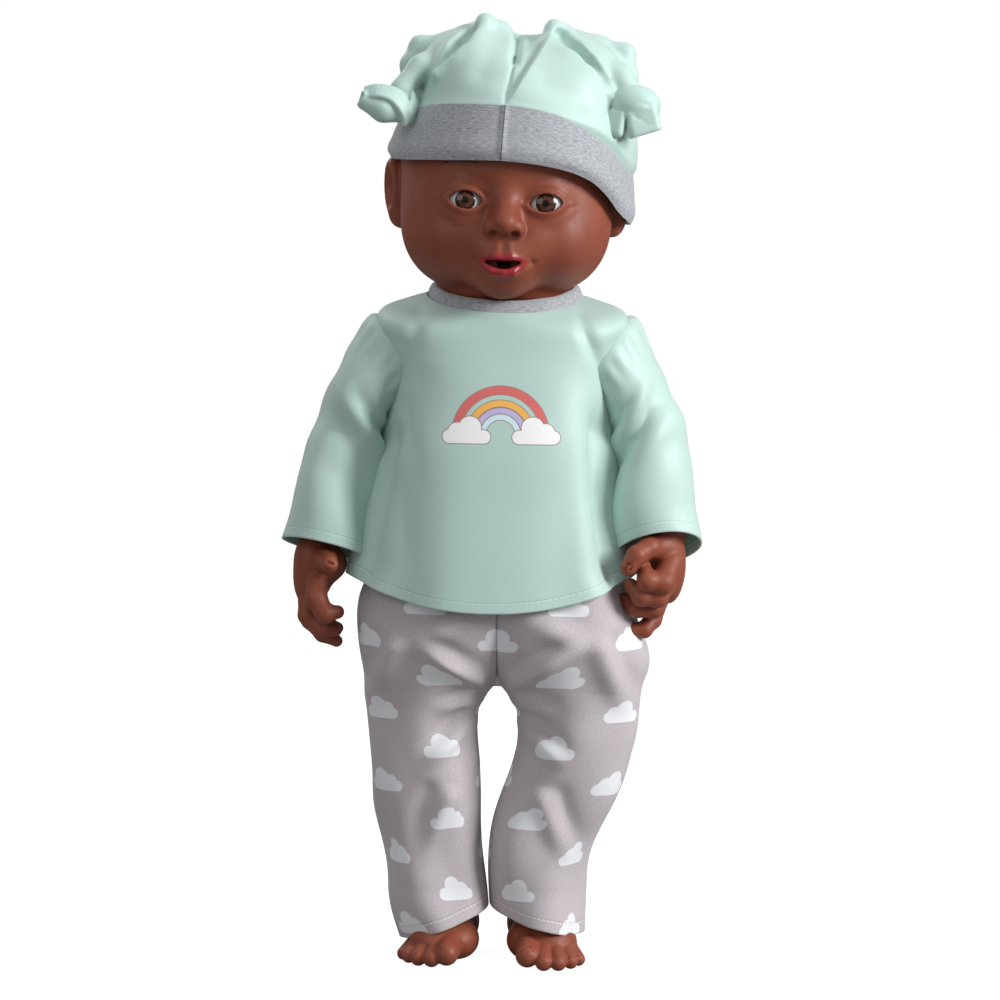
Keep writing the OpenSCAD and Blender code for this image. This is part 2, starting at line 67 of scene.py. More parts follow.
# ---------------------------------------------------------------- distance fields

def ball(x, y, z, c, r):
    return np.sqrt((x - c[0]) ** 2 + (y - c[1]) ** 2 + (z - c[2]) ** 2) - r


def egg(x, y, z, c, r):
    """Ellipsoid with radii r; close to a true distance near its surface."""
    dx, dy, dz = x - c[0], y - c[1], z - c[2]
    k0 = np.sqrt((dx / r[0]) ** 2 + (dy / r[1]) ** 2 + (dz / r[2]) ** 2)
    k1 = np.sqrt((dx / r[0] ** 2) ** 2 + (dy / r[1] ** 2) ** 2 + (dz / r[2] ** 2) ** 2)
    return k0 * (k0 - 1.0) / np.maximum(k1, 1e-6)


def rod(x, y, z, a, b, ra, rb):
    """Round-ended rod from a to b whose radius goes from ra to rb."""
    d = np.subtract(b, a)
    t = ((x - a[0]) * d[0] + (y - a[1]) * d[1] + (z - a[2]) * d[2]) / float(d @ d)
    t = np.clip(t, 0, 1)
    px, py, pz = x - a[0] - t * d[0], y - a[1] - t * d[1], z - a[2] - t * d[2]
    return np.sqrt(px ** 2 + py ** 2 + pz ** 2) - (ra + (rb - ra) * t)


def finger(x, y, z, points, radii, k=1.2):
    """A bent finger or limb: rods through points, smoothly joined."""
    f = None
    for (a, b), (ra, rb) in zip(zip(points, points[1:]), zip(radii, radii[1:])):
        g = rod(x, y, z, a, b, ra, rb)
        f = g if f is None else join(f, g, k)
    return f


def join(a, b, k):
    h = np.maximum(k - np.abs(a - b), 0) / k
    return np.minimum(a, b) - h * h * k * 0.25


def add_eggs(f, at, eggs):
    """Joins onto f eggs given as (centre, radii or radius, roundness of the joint)."""
    for centre, radii, k in eggs:
        shape = egg if np.ndim(radii) else ball
        f = join(f, shape(*at, centre, radii), k)
    return f


def carve(a, b, k):
    """Takes b out of a, with an edge rounded by k."""
    return -join(-a, b, k)


def hump(t, width):
    return np.exp(-(t / width) ** 2)


def ramp(t, low, high):
    t = np.clip((t - low) / (high - low), 0, 1)
    return t * t * (3 - 2 * t)


# ---------------------------------------------------------------- meshing

def net_of(field, low, high, step):
    """Vertices and quads of field's zero surface, by surface nets."""
    axes = [np.arange(a, b + step, step, dtype=np.float32) for a, b in zip(low, high)]
    x, y, z = np.meshgrid(*axes, indexing="ij", sparse=True)
    f = np.broadcast_to(field(x, y, z), [len(a) for a in axes]).astype(np.float32)
    inside = f < 0
    n = [len(a) - 1 for a in axes]
    corner = {}
    for i in (0, 1):
        for j in (0, 1):
            for k in (0, 1):
                corner[i, j, k] = (slice(i, n[0] + i), slice(j, n[1] + j), slice(k, n[2] + k))
    count = sum(inside[s].astype(np.int8) for s in corner.values())
    cells = np.argwhere((count > 0) & (count < 8))
    number = -np.ones(n, np.int64)
    number[tuple(cells.T)] = np.arange(len(cells))
    total, hits = np.zeros((len(cells), 3)), np.zeros(len(cells))
    keys = list(corner)
    for a in keys:
        for axis in range(3):
            if a[axis]:
                continue
            b = tuple(v + (axis == w) for w, v in enumerate(a))
            fa = f[tuple((cells + a).T)]
            fb = f[tuple((cells + b).T)]
            cross = (fa < 0) != (fb < 0)
            t = np.where(cross, fa / np.where(cross, fa - fb, 1), 0)
            p = np.array(a, float)[None] + t[:, None] * (np.array(b) - a)[None]
            total += np.where(cross[:, None], p, 0)
            hits += cross
    verts = (cells + total / hits[:, None]) * step + np.array(low)
    quads = []
    for axis in range(3):
        one, two = [w for w in range(3) if w != axis]
        shift = np.zeros(3, int)
        shift[axis] = 1
        s0 = [slice(1, m) for m in n]
        s1 = [slice(1, m) for m in n]
        s0[axis], s1[axis] = slice(0, n[axis]), slice(1, n[axis] + 1)
        edge = inside[tuple(s0)] != inside[tuple(s1)]
        at = np.argwhere(edge) + [0 if w == axis else 1 for w in range(3)]
        e1, e2 = np.zeros(3, int), np.zeros(3, int)
        e1[one], e2[two] = 1, 1
        q = np.stack([number[tuple((at - d).T)] for d in (e1 + e2, e2, 0 * e1, e1)], 1)
        flip = inside[tuple(at.T)]
        if axis == 1:
            flip = ~flip
        q[~flip] = q[~flip][:, ::-1]
        quads.append(q)
    return verts, np.concatenate(quads)


def settled(field, verts, rounds=3):
    """Moves vertices onto the field's zero surface."""
    e = 0.05
    for _ in range(rounds):
        x, y, z = verts.T
        f = field(x, y, z)
        g = np.stack([(field(x + e, y, z) - f), (field(x, y + e, z) - f),
                      (field(x, y, z + e) - f)], 1) / e
        size = np.maximum((g ** 2).sum(1), 0.2)
        verts = verts - np.clip((f / size)[:, None] * g, -0.8, 0.8)
    return verts


def mesh_piece(name, verts, faces, rest, extra=None):
    """A mesh object from millimetre vertices. rest is kept for textures; extra holds named masks."""
    mesh = bpy.data.meshes.new(name)
    mesh.from_pydata((np.asarray(verts) * MM).tolist(), [], np.asarray(faces).tolist())
    mesh.update()
    mesh.polygons.foreach_set("use_smooth", np.ones(len(mesh.polygons), bool))
    stored = mesh.attributes.new("rest", "FLOAT_VECTOR", "POINT")
    stored.data.foreach_set("vector", np.asarray(rest, np.float32).ravel())
    for key, values in (extra or {}).items():
        mask = mesh.attributes.new(key, "FLOAT", "POINT")
        mask.data.foreach_set("value", np.asarray(values, np.float32))
    piece = bpy.data.objects.new(name, mesh)
    bpy.context.scene.collection.objects.link(piece)
    return piece


def field_piece(name, field, low, high, step, masks=None, place=None):
    """A mesh of a distance field. masks(x, y, z) gives named vertex masks; place moves the points."""
    verts, quads = net_of(field, low, high, step)
    verts = settled(field, verts)
    extra = masks(*verts.T) if masks else None
    rest = verts
    if place is not None:
        verts = place(verts)
    return mesh_piece(name, verts, quads, rest, extra)


def tilt_head(points):
    """Leans the head and hat about the neck."""
    c, s = math.cos(HEAD_ROLL), math.sin(HEAD_ROLL)
    q = np.asarray(points) - HEAD_PIVOT
    return np.stack([c * q[:, 0] + s * q[:, 2], q[:, 1], -s * q[:, 0] + c * q[:, 2]], 1) + HEAD_PIVOT


def turn_head(points):
    """Turns the face a little to the doll's right before leaning it."""
    c, s = math.cos(HEAD_YAW), math.sin(HEAD_YAW)
    q = np.asarray(points) - HEAD_PIVOT
    q = np.stack([c * q[:, 0] + s * q[:, 1], -s * q[:, 0] + c * q[:, 1], q[:, 2]], 1)
    return tilt_head(q + HEAD_PIVOT)


# ---------------------------------------------------------------- head

EYE = np.array((17.6, -39.6, 343.9))
EYE_R = 9.6
LID_HALF_W, LID_UP, LID_DOWN = 7.6, 4.1, 3.7
MOUTH_HALF_W, LIP_HALF_W = 8.9, 10.9
MOUTH_TOP, MOUTH_LOW, MOUTH_CORNER = 318.4, 314.6, 318.2
BROW_X, BROW_TOP = -20.3, 361.2


def almond(x, z):
    """Distance outside the eye opening, in the face's plane."""
    w, up, down = LID_HALF_W, LID_UP, LID_DOWN
    r_up, r_down = (w * w + up * up) / (2 * up), (w * w + down * down) / (2 * down)
    dx, dz = x - EYE[0], z - EYE[2] - 0.05 * (x - EYE[0])
    over = np.sqrt(dx ** 2 + (dz - up + r_up) ** 2) - r_up
    under = np.sqrt(dx ** 2 + (dz + down - r_down) ** 2) - r_down
    return np.maximum(over, under)


def mouth_gap(ax, z):
    """Distance outside the gap between the lips, in the face's plane."""
    t = (ax / MOUTH_HALF_W) ** 2
    top = MOUTH_TOP - 0.5 * t - 0.35 * hump(ax, 2.2)
    low = MOUTH_LOW + (MOUTH_CORNER - MOUTH_LOW) * t
    return np.maximum(np.maximum(z - top, low - z) * 0.85, ax - MOUTH_HALF_W)


def head_field(x, y, z):
    ax = np.sqrt(x * x + 0.04)         # both sides alike, without a crease at the middle
    # skull, cheeks, chin, mouth, the cheeks' fronts, beside the nose, nape
    f = egg(ax, y, z, (0, 4, 361.5), (49.2, 56.5, 50))
    f = add_eggs(f, (ax, y, z), (
        ((17.6, -13.5, 333.8), (29.3, 31.5, 28.8), 12), ((0, -33.5, 316.2), 14.6, 10),
        ((0, -34.5, 322), (16.5, 18.5, 14), 9), ((21.5, -31.5, 327), (14.0, 14, 13.5), 8),
        ((11.5, -37.5, 329), (8.5, 11.0, 11), 7), ((0, 12, 327), 23.5, 8)))
    # eye socket
    f = carve(f, egg(ax, y, z, (17.5, -58, 344.5), (12, 7.5, 7.5)), 8)
    f = join(f, ball(ax, y, z, EYE, EYE_R + 1.35), 4.5)
    # nose
    nose = rod(ax, y, z, (0, -43.6, 350), (0, -51.4, 338.5), 4.0, 5.2)
    nose = join(nose, egg(ax, y, z, (0, -55.4, 334.4), (5.7, 5.2, 4.8)), 4.0)
    f = join(f, nose, 6.0)
    wing = egg(ax, y, z, (5.9, -52.6, 332.2), (3.1, 4.2, 3.6))
    f = join(f, wing, 3.0)
    f = f + 0.22 * hump(wing - 1.2, 0.8) * ramp(ax, 6.0, 8.5) * ramp(-y, 36, 42)
    f = carve(f, egg(ax, y, z, (4.8, -55.4, 329.9), (1.9, 3.2, 1.3)), 1.0)
    front = ramp(-y, 34, 42)
    # lips
    upper = finger(ax, y, z, [(0, -52.2, 319.2), (3.4, -52.2, 319.7), (7.6, -49.8, 318.9),
                              (10.3, -47.4, 318.1)], [1.45, 1.65, 1.1, 0.45])
    lower = finger(ax, y, z, [(0, -51.4, 312.9), (4.5, -50.7, 313.5), (8.4, -48.4, 316.0),
                              (10.3, -46.9, 318.0)], [2.3, 2.1, 1.3, 0.45])
    f = join(f, upper, 1.6)
    f = join(f, lower, 2.0)
    # the lower lip's fine creases, the groove and ridges above the lips, dimples, chin and cheek folds
    f = f - 0.12 * np.sin(2.6 * x) * hump(z - 312.9, 1.6) * ramp(8 - ax, 0, 4) * front
    f = f + front * 0.55 * hump(ax, 1.5) * hump(z - 324.0, 3.0)
    f = f - front * 0.30 * hump(ax - 2.9, 1.1) * hump(z - 324.0, 2.8)
    f = f + front * 1.0 * hump(ax - 12.6, 1.6) * hump(z - 318.2, 1.5)
    f = f + front * 0.8 * hump(z - 308.4, 2.0) * hump(ax, 8)
    fold = rod(ax, y * 0, z, (11.5, 0, 330), (16.0, 0, 320.5), 0, 0)
    f = f + front * 0.12 * hump(fold, 3.4)
    f = carve(f, np.maximum(mouth_gap(ax, z), y + 45.5), 1.0)
    f = carve(f, egg(ax, y, z, (0, -44.5, 316.0), (8.2, 5.5, 4.0)), 1.4)
    # eyelids
    lid = almond(ax, z)
    f = f + front * 0.6 * hump(lid - 2.6, 0.85) * ramp(z - EYE[2], -0.5, 2.0)
    f = f - front * 0.06 * hump(lid - 0.9, 0.9)
    f = f + front * 0.32 * hump(lid - 3.4, 1.2) * ramp(EYE[2] - z, 0, 2.5)
    line = hump(z - 343.2 - 0.12 * (ax - 29), 0.7) * ramp(ax, 25.5, 27.5) * ramp(33 - ax, 0, 4)
    f = f + front * 0.30 * line
    f = carve(f, np.maximum(lid, y + 38), 0.55)
    # ears; the hat presses the top of the left one flat
    lean = 0.12 * (z - 349) - 2.6 * ramp(x, 40, 46) * ramp(z, 341, 352)
    ear = egg(ax - lean, y, z, (50.8, 8.0, 349.0), (6.2, 8.8, 15.8))
    ear = carve(ear, egg(ax - lean, y, z, (55.6, 3.6, 351.0), (4.0, 5.4, 10.2)), 2.0)
    ear = join(ear, ball(ax - lean, y, z, (51.2, 3.6, 345.0), 2.2), 2.0)
    ear = join(ear, ball(ax - lean, y, z, (49.8, 5.5, 337.0), 4.7), 3)
    f = join(f, ear, 2.0)
    # the neck's outside and its opening
    tube = np.sqrt(x ** 2 + (y - 2) ** 2)
    f = join(f, np.maximum(tube - 30.8 + 0.5 * np.maximum(303 - z, 0), np.abs(z - 310.5) - 10), 4)
    return carve(f, np.maximum(tube - 22.4, z - 312), 0.8)


def head_masks(x, y, z):
    ax = np.abs(x)
    gap = mouth_gap(ax, z)
    u = np.clip(ax / LIP_HALF_W, 0, 1)
    top = MOUTH_CORNER + 0.2 + 3.2 * (1 - u ** 2) ** 0.85 - 0.8 * hump(ax, 1.7)
    low = MOUTH_CORNER - 0.2 - 7.2 * (1 - u ** 2) ** 0.75
    lip = np.minimum(np.minimum(top - z, z - low) * 0.9, (LIP_HALF_W - ax))
    front = ramp(-y, 42, 44)
    # a thin brow over the right eye only, and a line along each upper lid
    brow_z = BROW_TOP - 0.021 * (x - BROW_X) ** 2
    brow = hump(z - brow_z, 0.4) * ramp(11 - np.abs(x - BROW_X), 0, 4) * ramp(-y, 30, 34)
    return {
        "lip": ramp(lip, -0.35, 0.35) * front,
        "mouth": ramp(-gap, 0.1, 0.9) * ramp(y, -49.6, -47.6) * ramp(-y, 30, 34),
        "brow": np.maximum(brow, 0.62 * hump(almond(ax, z) - 0.25, 0.55) * ramp(z - EYE[2], 0.4, 1.8)
                           * ramp(13 - np.abs(ax - EYE[0]), 3, 6) * ramp(-y, 36, 40)),
        "blush": hump(np.sqrt((ax - 27) ** 2 + (z - 326) ** 2), 13) * ramp(-y, 10, 30),
    }


def make_head():
    head = field_piece("head_skin", head_field, (-60, -64, 297), (60, 64, 414), STEP,
                       head_masks, turn_head)
    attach(head, "head")
    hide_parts("head_shell")
    head.data.materials.append(skin_material())
    for side, word in SIDES:
        make_eye(side, word)


def make_eye(side, word):
    """An inset eye: a ball with a low clear bulge over the iris."""
    rings, cols, cap = 48, 64, math.pi * 0.62       # cap: how far the surface runs back from the pupil
    bulge, bulge_wide = 0.55, 0.42
    verts, faces = [], []
    centre = EYE * (side, 1, 1)
    gaze = Vector((side * 0.01, -1, 0.0)).normalized()
    turn = gaze.to_track_quat("Z", "Y").to_matrix()
    for i in range(rings):
        a = cap * i / (rings - 1)
        r = EYE_R + bulge * math.exp(-(a / bulge_wide) ** 2)
        for j in range(cols):
            b = 2 * math.pi * j / cols
            verts.append((r * math.sin(a) * math.cos(b), r * math.sin(a) * math.sin(b), r * math.cos(a)))
    for i in range(rings - 1):
        for j in range(cols):
            k = (j + 1) % cols
            faces.append((i * cols + j, i * cols + k, (i + 1) * cols + k, (i + 1) * cols + j))
    rest = np.array(verts)
    placed = rest @ np.array(turn).T + centre
    eye = mesh_piece(f"eyeball_{word}", turn_head(placed), [f[::-1] for f in faces], rest)
    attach(eye, "head")
    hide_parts(f"eye_{word}")
    eye.data.materials.append(eye_material())


# ---------------------------------------------------------------- materials

class Nodes:
    """A material's nodes, with short calls to make and link them."""

    def __init__(self, name):
        old = bpy.data.materials.get(name)
        self.made = old is not None
        self.mat = old or bpy.data.materials.new(name)
        if self.made:
            return
        self.mat.use_nodes = True
        self.tree = self.mat.node_tree
        self.shader = self.tree.nodes["Principled BSDF"]

    def add(self, kind, **values):
        node = self.tree.nodes.new(kind)
        for key, value in values.items():
            setattr(node, key, value)
        return node

    def link(self, source, target):
        self.tree.links.new(source, target)

    def put(self, socket, value):
        if isinstance(value, bpy.types.NodeSocket):
            self.link(value, socket)
        else:
            socket.default_value = value

    def math(self, kind, a, b=0.0):
        node = self.add("ShaderNodeMath", operation=kind)
        self.put(node.inputs[0], a)
        self.put(node.inputs[1], b)
        return node.outputs[0]

    def times(self, a, b):
        return self.math("MULTIPLY", a, b)

    def plus(self, a, b):
        return self.math("ADD", a, b)

    def minus(self, a, b):
        return self.math("SUBTRACT", a, b)

    def away(self, a, b):
        """How far a is from b."""
        return self.math("ABSOLUTE", self.minus(a, b))

    def length(self, a, b):
        return self.math("SQRT", self.plus(self.times(a, a), self.times(b, b)))

    def attribute(self, name, out="Vector"):
        return self.add("ShaderNodeAttribute", attribute_name=name).outputs[out]

    def split(self, vector):
        node = self.add("ShaderNodeSeparateXYZ")
        self.put(node.inputs[0], vector)
        return node.outputs

    def stretch(self, vector, scale):
        node = self.add("ShaderNodeVectorMath", operation="MULTIPLY")
        self.put(node.inputs[0], vector)
        node.inputs[1].default_value = scale
        return node.outputs[0]

    def noise(self, vector, scale, detail=3.0, rough=0.5):
        node = self.add("ShaderNodeTexNoise")
        self.put(node.inputs["Vector"], vector)
        node.inputs["Scale"].default_value = scale
        node.inputs["Detail"].default_value = detail
        node.inputs["Roughness"].default_value = rough
        return node.outputs["Fac"]

    def mix(self, fac, a, b, kind="MIX"):
        node = self.add("ShaderNodeMix", data_type="RGBA", blend_type=kind)
        self.put(node.inputs["Factor"], fac)
        self.put(node.inputs[6], a)
        self.put(node.inputs[7], b)
        return node.outputs[2]

    def between(self, value, low, high, to_low=0.0, to_high=1.0):
        node = self.add("ShaderNodeMapRange")
        self.put(node.inputs["Value"], value)
        for key, number in zip(("From Min", "From Max", "To Min", "To Max"), (low, high, to_low, to_high)):
            node.inputs[key].default_value = number
        return node.outputs[0]

    def bump(self, height, strength, distance):
        node = self.add("ShaderNodeBump")
        node.inputs["Strength"].default_value = strength
        node.inputs["Distance"].default_value = distance * MM
        self.put(node.inputs["Height"], height)
        return node.outputs[0]

    def shade(self, **values):
        """Sets the shader's inputs by name, with _ for a space."""
        for key, value in values.items():
            self.put(self.shader.inputs[key.replace("_", " ")], value)


def rgb(red, green, blue):
    """Linear colour from 0-255 display values."""
    def linear(v):
        v /= 255
        return v / 12.92 if v <= 0.04045 else ((v + 0.055) / 1.055) ** 2.4
    return linear(red), linear(green), linear(blue), 1.0


def skin_material():
    n = Nodes("skin_vinyl_look")
    if n.made:
        return n.mat
    rest = n.attribute("rest")
    cloud = n.noise(rest, 0.06, 3)
    base = n.mix(n.between(cloud, 0.3, 0.7), rgb(130, 65, 46), rgb(142, 75, 53))
    base = n.mix(n.times(n.attribute("blush", "Fac"), 0.35), base, rgb(124, 56, 44))
    base = n.mix(n.attribute("brow", "Fac"), base, rgb(38, 20, 16))
    base = n.mix(n.attribute("lip", "Fac"), base, rgb(150, 42, 48))
    base = n.mix(n.attribute("mouth", "Fac"), base, rgb(70, 22, 18))
    grain = n.noise(rest, 2.4, 4, 0.6)
    rough = n.between(n.noise(rest, 0.5, 2), 0.3, 0.7, 0.48, 0.58)
    rough = n.minus(rough, n.times(n.attribute("lip", "Fac"), 0.20))
    n.shade(Base_Color=base, Roughness=rough, Normal=n.bump(grain, 0.12, 0.12))
    n.shade(Subsurface_Weight=0.06, Subsurface_Radius=(1.0, 0.35, 0.2), Subsurface_Scale=0.002)
    n.shade(Coat_Weight=0.03, Coat_Roughness=0.25, Specular_IOR_Level=0.34)
    return n.mat


# Colours of pupil, iris, dark rim and white, by distance from the middle as a share of EYE_RINGS_R; the
# white greys towards its edge as painted shade.
EYE_RINGS_R = 5.7
EYE_RINGS = ((0.0, (4, 3, 3)), (0.205, (6, 4, 4)), (0.25, (40, 19, 12)), (0.45, (62, 30, 18)),
             (0.62, (34, 17, 11)), (0.70, (12, 7, 6)), (0.765, (14, 8, 7)), (0.80, (205, 206, 210)),
             (1.0, (190, 188, 192)))


def eye_material():
    n = Nodes("eye_look")
    if n.made:
        return n.mat
    x, y, _ = n.split(n.attribute("rest"))
    r = n.length(x, y)
    around = n.math("ARCTAN2", y, x)
    # streaks running outwards in the iris
    spoke = n.add("ShaderNodeCombineXYZ")
    n.put(spoke.inputs[0], n.times(n.math("SINE", around), 9.0))
    n.put(spoke.inputs[1], n.times(n.math("COSINE", around), 9.0))
    n.put(spoke.inputs[2], n.times(r, 0.5))
    streak = n.between(n.noise(spoke.outputs[0], 1.5, 5, 0.75), 0.50, 0.70)
    ring = n.add("ShaderNodeValToRGB")
    n.put(ring.inputs[0], n.math("DIVIDE", r, EYE_RINGS_R))
    bands = ring.color_ramp.elements
    # the outermost band is the white's painted shade towards the lids
    bands[0].color, bands[1].color = rgb(*EYE_RINGS[0][1]), rgb(*EYE_RINGS[-1][1])
    for place, colour in EYE_RINGS[1:-1]:
        bands.new(place).color = rgb(*colour)
    iris = n.times(n.between(r, 1.5, 1.9), n.between(r, 4.1, 3.3))
    colour = n.mix(n.times(streak, iris), ring.outputs[0], rgb(168, 100, 62))
    n.shade(Base_Color=colour, Roughness=0.3, Specular_IOR_Level=0.1)
    n.shade(Coat_Weight=0.75, Coat_Roughness=0.03, Coat_IOR=1.5)
    return n.mat


def plastic(name, colour, rough=0.4, metal=0.0):
    """Moulded plastic or plain metal for the hidden works: fine grain and a little mottling."""
    n = Nodes(name)
    if n.made:
        return n.mat
    place = n.add("ShaderNodeTexCoord").outputs["Object"]
    shade = n.between(n.noise(place, 60, 3), 0.3, 0.7, 0.9, 1.1)
    tinted = n.mix(1.0, colour, shade, "MULTIPLY")
    n.shade(Base_Color=tinted, Metallic=metal)
    n.shade(Roughness=n.between(n.noise(place, 300, 2), 0.3, 0.7, rough - 0.05, rough + 0.08))
    n.shade(Normal=n.bump(n.noise(place, 900, 2), 0.1, 0.1))
    return n.mat


# ---------------------------------------------------------------- stage

WHITE = (1, 1, 1, 1)
WORLD_LIGHT = 0.31                 # what the surroundings give the doll; they are seen as 1
FLOOR_DOWN = 0.0002                # the floor lies a hair under the soles
# name, place, what it points at, size, power
LAMPS = (
    ("key", (1.50, -0.68, 0.95), (0, 0, 0.25), 0.7, 36),
    ("fill", (-1.1, -1.2, 0.9), (0, 0, 0.25), 1.0, 5.0),
    ("rim", (-0.8, 0.9, 1.2), (0, 0, 0.3), 0.7, 4),
    ("top", (0.1, -0.2, 1.7), (0, 0, 0.2), 1.2, 5.8),
)
CAMERA_AT = (0.0, -1.25, 0.295)
CAMERA_LENS, CAMERA_SENSOR, CAMERA_FAR = 98.35, 36, 30
CAMERA_DOWN, CAMERA_ROLL = math.radians(3.897), math.radians(0.93)


def make_stage():
    scene = bpy.context.scene
    scene.view_settings.view_transform = "Standard"
    world = bpy.data.worlds.new("studio")
    scene.world = world
    world.use_nodes = True
    tree = world.node_tree
    back = tree.nodes["Background"]
    back.inputs[0].default_value = WHITE
    back.inputs[1].default_value = WORLD_LIGHT
    # the backdrop is seen white; what lights the doll is dimmer
    seen = tree.nodes.new("ShaderNodeBackground")
    seen.inputs[0].default_value = WHITE
    seen.inputs[1].default_value = 1.0
    rays = tree.nodes.new("ShaderNodeLightPath")
    pick = tree.nodes.new("ShaderNodeMixShader")
    tree.links.new(rays.outputs["Is Camera Ray"], pick.inputs[0])
    tree.links.new(back.outputs[0], pick.inputs[1])
    tree.links.new(seen.outputs[0], pick.inputs[2])
    tree.links.new(pick.outputs[0], tree.nodes["World Output"].inputs[0])
    bpy.ops.mesh.primitive_plane_add(size=12, location=(0, 0, -FLOOR_DOWN))
    floor = bpy.context.object
    floor.name = "floor"
    n = Nodes("floor_look")
    n.shade(Base_Color=(0.28, 0.28, 0.28, 1), Roughness=0.95, Specular_IOR_Level=0.0)
    rays = n.add("ShaderNodeLightPath")
    n.shade(Emission_Color=(0.95, 0.95, 0.95, 1), Emission_Strength=rays.outputs["Is Camera Ray"])
    floor.data.materials.append(n.mat)
    for name, place, target, size, power in LAMPS:
        light = bpy.data.lights.new(name, "AREA")
        light.size, light.energy = size, power
        obj = bpy.data.objects.new(name, light)
        obj.location = place
        obj.rotation_euler = (Vector(target) - Vector(place)).to_track_quat("-Z", "Y").to_euler()
        bpy.context.scene.collection.objects.link(obj)


def make_camera():
    cam = bpy.data.cameras.new("camera")
    cam.lens, cam.sensor_width, cam.clip_end = CAMERA_LENS, CAMERA_SENSOR, CAMERA_FAR
    obj = bpy.data.objects.new("camera", cam)
    bpy.context.scene.collection.objects.link(obj)
    obj.matrix_world = (Matrix.Translation(CAMERA_AT) @ Matrix.Rotation(math.pi / 2 - CAMERA_DOWN, 4, "X")
                        @ Matrix.Rotation(CAMERA_ROLL, 4, "Z"))
    bpy.context.scene.camera = obj


# ---------------------------------------------------------------- limbs

WRIST = {LEFT: (76.0, -12.0, 193.0), RIGHT: (-79.0, -8.0, 190.0)}
SHOULDER = (56.6, 0.0, 275.0)

# The doll's right hand hangs half open, thumb to the front; its left is closed with the thumb over.
# Each digit is (points, radii), the thumb first.
RIGHT_DIGITS = (
    ([(-82, -14, 183), (-78, -24, 183), (-75.5, -33.5, 182)],
     [5.6, 5.0, 3.7]),
    ([(-82.5, -17, 173), (-82.3, -23, 165.5), (-78.0, -25, 158.8), (-72.5, -23.5, 159.6)],
     [5.4, 4.9, 4.4, 3.1]),
    ([(-87, -11, 168), (-86.5, -15, 157), (-80.0, -17.5, 151.4), (-73.6, -16.5, 150.6)],
     [4.6, 4.3, 3.9, 2.9]),
    ([(-88, -4, 167), (-86.0, -7.5, 154), (-80.0, -9.5, 147.8), (-73.6, -9.5, 144.8)],
     [4.4, 4.0, 3.5, 2.8]),
    ([(-86, 2.5, 168), (-84.0, 0, 158), (-78.5, -2, 152.0), (-73.5, -2.5, 150.0)],
     [4.0, 3.6, 3.1, 2.6]),
)
LEFT_DIGITS = (
    ([(72.5, -20, 190.5), (67.5, -27, 191.2), (61.5, -32, 188.0), (57.9, -33.5, 182.6)],
     [6.0, 4.9, 4.5, 3.7]),
    ([(77.5, -21, 184.5), (73.5, -29, 175.8), (66.5, -32, 176.6), (65.0, -27, 182.6)],
     [5.4, 5.3, 4.5, 3.4]),
    ([(77.5, -16, 176.0), (71.5, -25.5, 168.8), (64.0, -28, 169.2), (59.5, -24, 174.0)],
     [5.0, 4.6, 4.2, 3.2]),
    ([(76.0, -10, 171.0), (70.5, -18.5, 162.8), (62.0, -21, 162.8), (57.2, -17.5, 167.0)],
     [4.6, 4.2, 3.8, 3.0]),
    ([(74.5, -5, 168.0), (70.5, -10, 157.0), (66.5, -14, 152.8), (60.8, -15.5, 152.6)],
     [4.4, 4.0, 3.7, 3.0]),
)
# Thumb nails as (centre, radii).
RIGHT_NAIL = ((-74.6, -36.4, 184.0), (2.6, 0.9, 2.2))
LEFT_NAIL = ((57.2, -36.6, 183.4), (2.3, 0.9, 2.3))


def arm_field(side):
    wx, wy, wz = WRIST[side]
    digits = LEFT_DIGITS if side == LEFT else RIGHT_DIGITS
    nail = LEFT_NAIL if side == LEFT else RIGHT_NAIL

    def field(x, y, z):
        # shoulder, upper arm, forearm
        f = ball(x, y, z, (side * 56.5, 0, 274), 12.0)
        elbow = ((side * SHOULDER[0] + wx) / 2 + side * 3, wy / 2 + 2, (SHOULDER[2] + wz) / 2 + 2)
        f = join(f, rod(x, y, z, (side * 57.0, 0, 271), elbow, 11.2, 10.9), 6)
        f = join(f, rod(x, y, z, elbow, (wx, wy, wz + 8), 11.2, 10.2), 4)
        # the palm, its outer edge and the ball of the thumb
        if side == LEFT:
            palm = egg(x, y, z, (76.0, -13.5, 186.5), (8.6, 10.5, 14.5))
            more = ((77.0, -10.5, 176.5), (7.0, 9.5, 12.0), 5), ((71.5, -18, 192.5), 7.2, 5)
        else:
            palm = egg(x, y, z, (-83.8, -10, 180.5), (9.8, 11.0, 15.5))
            more = ((-86.0, -7, 170), (7.0, 10.0, 10.5), 5), ((-76.5, -12.5, 180.5), 7.4, 5)
        f = join(f, add_eggs(palm, (x, y, z), more), 3.5)
        for number, (points, radii) in enumerate(digits):
            one = finger(x, y, z, points, radii, 1.6)
            f = join(f, one, 2.6 if number == 0 else 1.0)
        # the thumb nail's outline, pressed in
        plate = egg(x, y, z, *nail)
        f = carve(f, np.maximum(np.abs(plate + 0.15) - 0.22, y - nail[0][1] - 1.2), 0.25)
        if side == LEFT:
            f = carve(f, ball(x, y, z, (69.0, -29.5, 184.6), 1.7), 1.5)
        return f
    return field


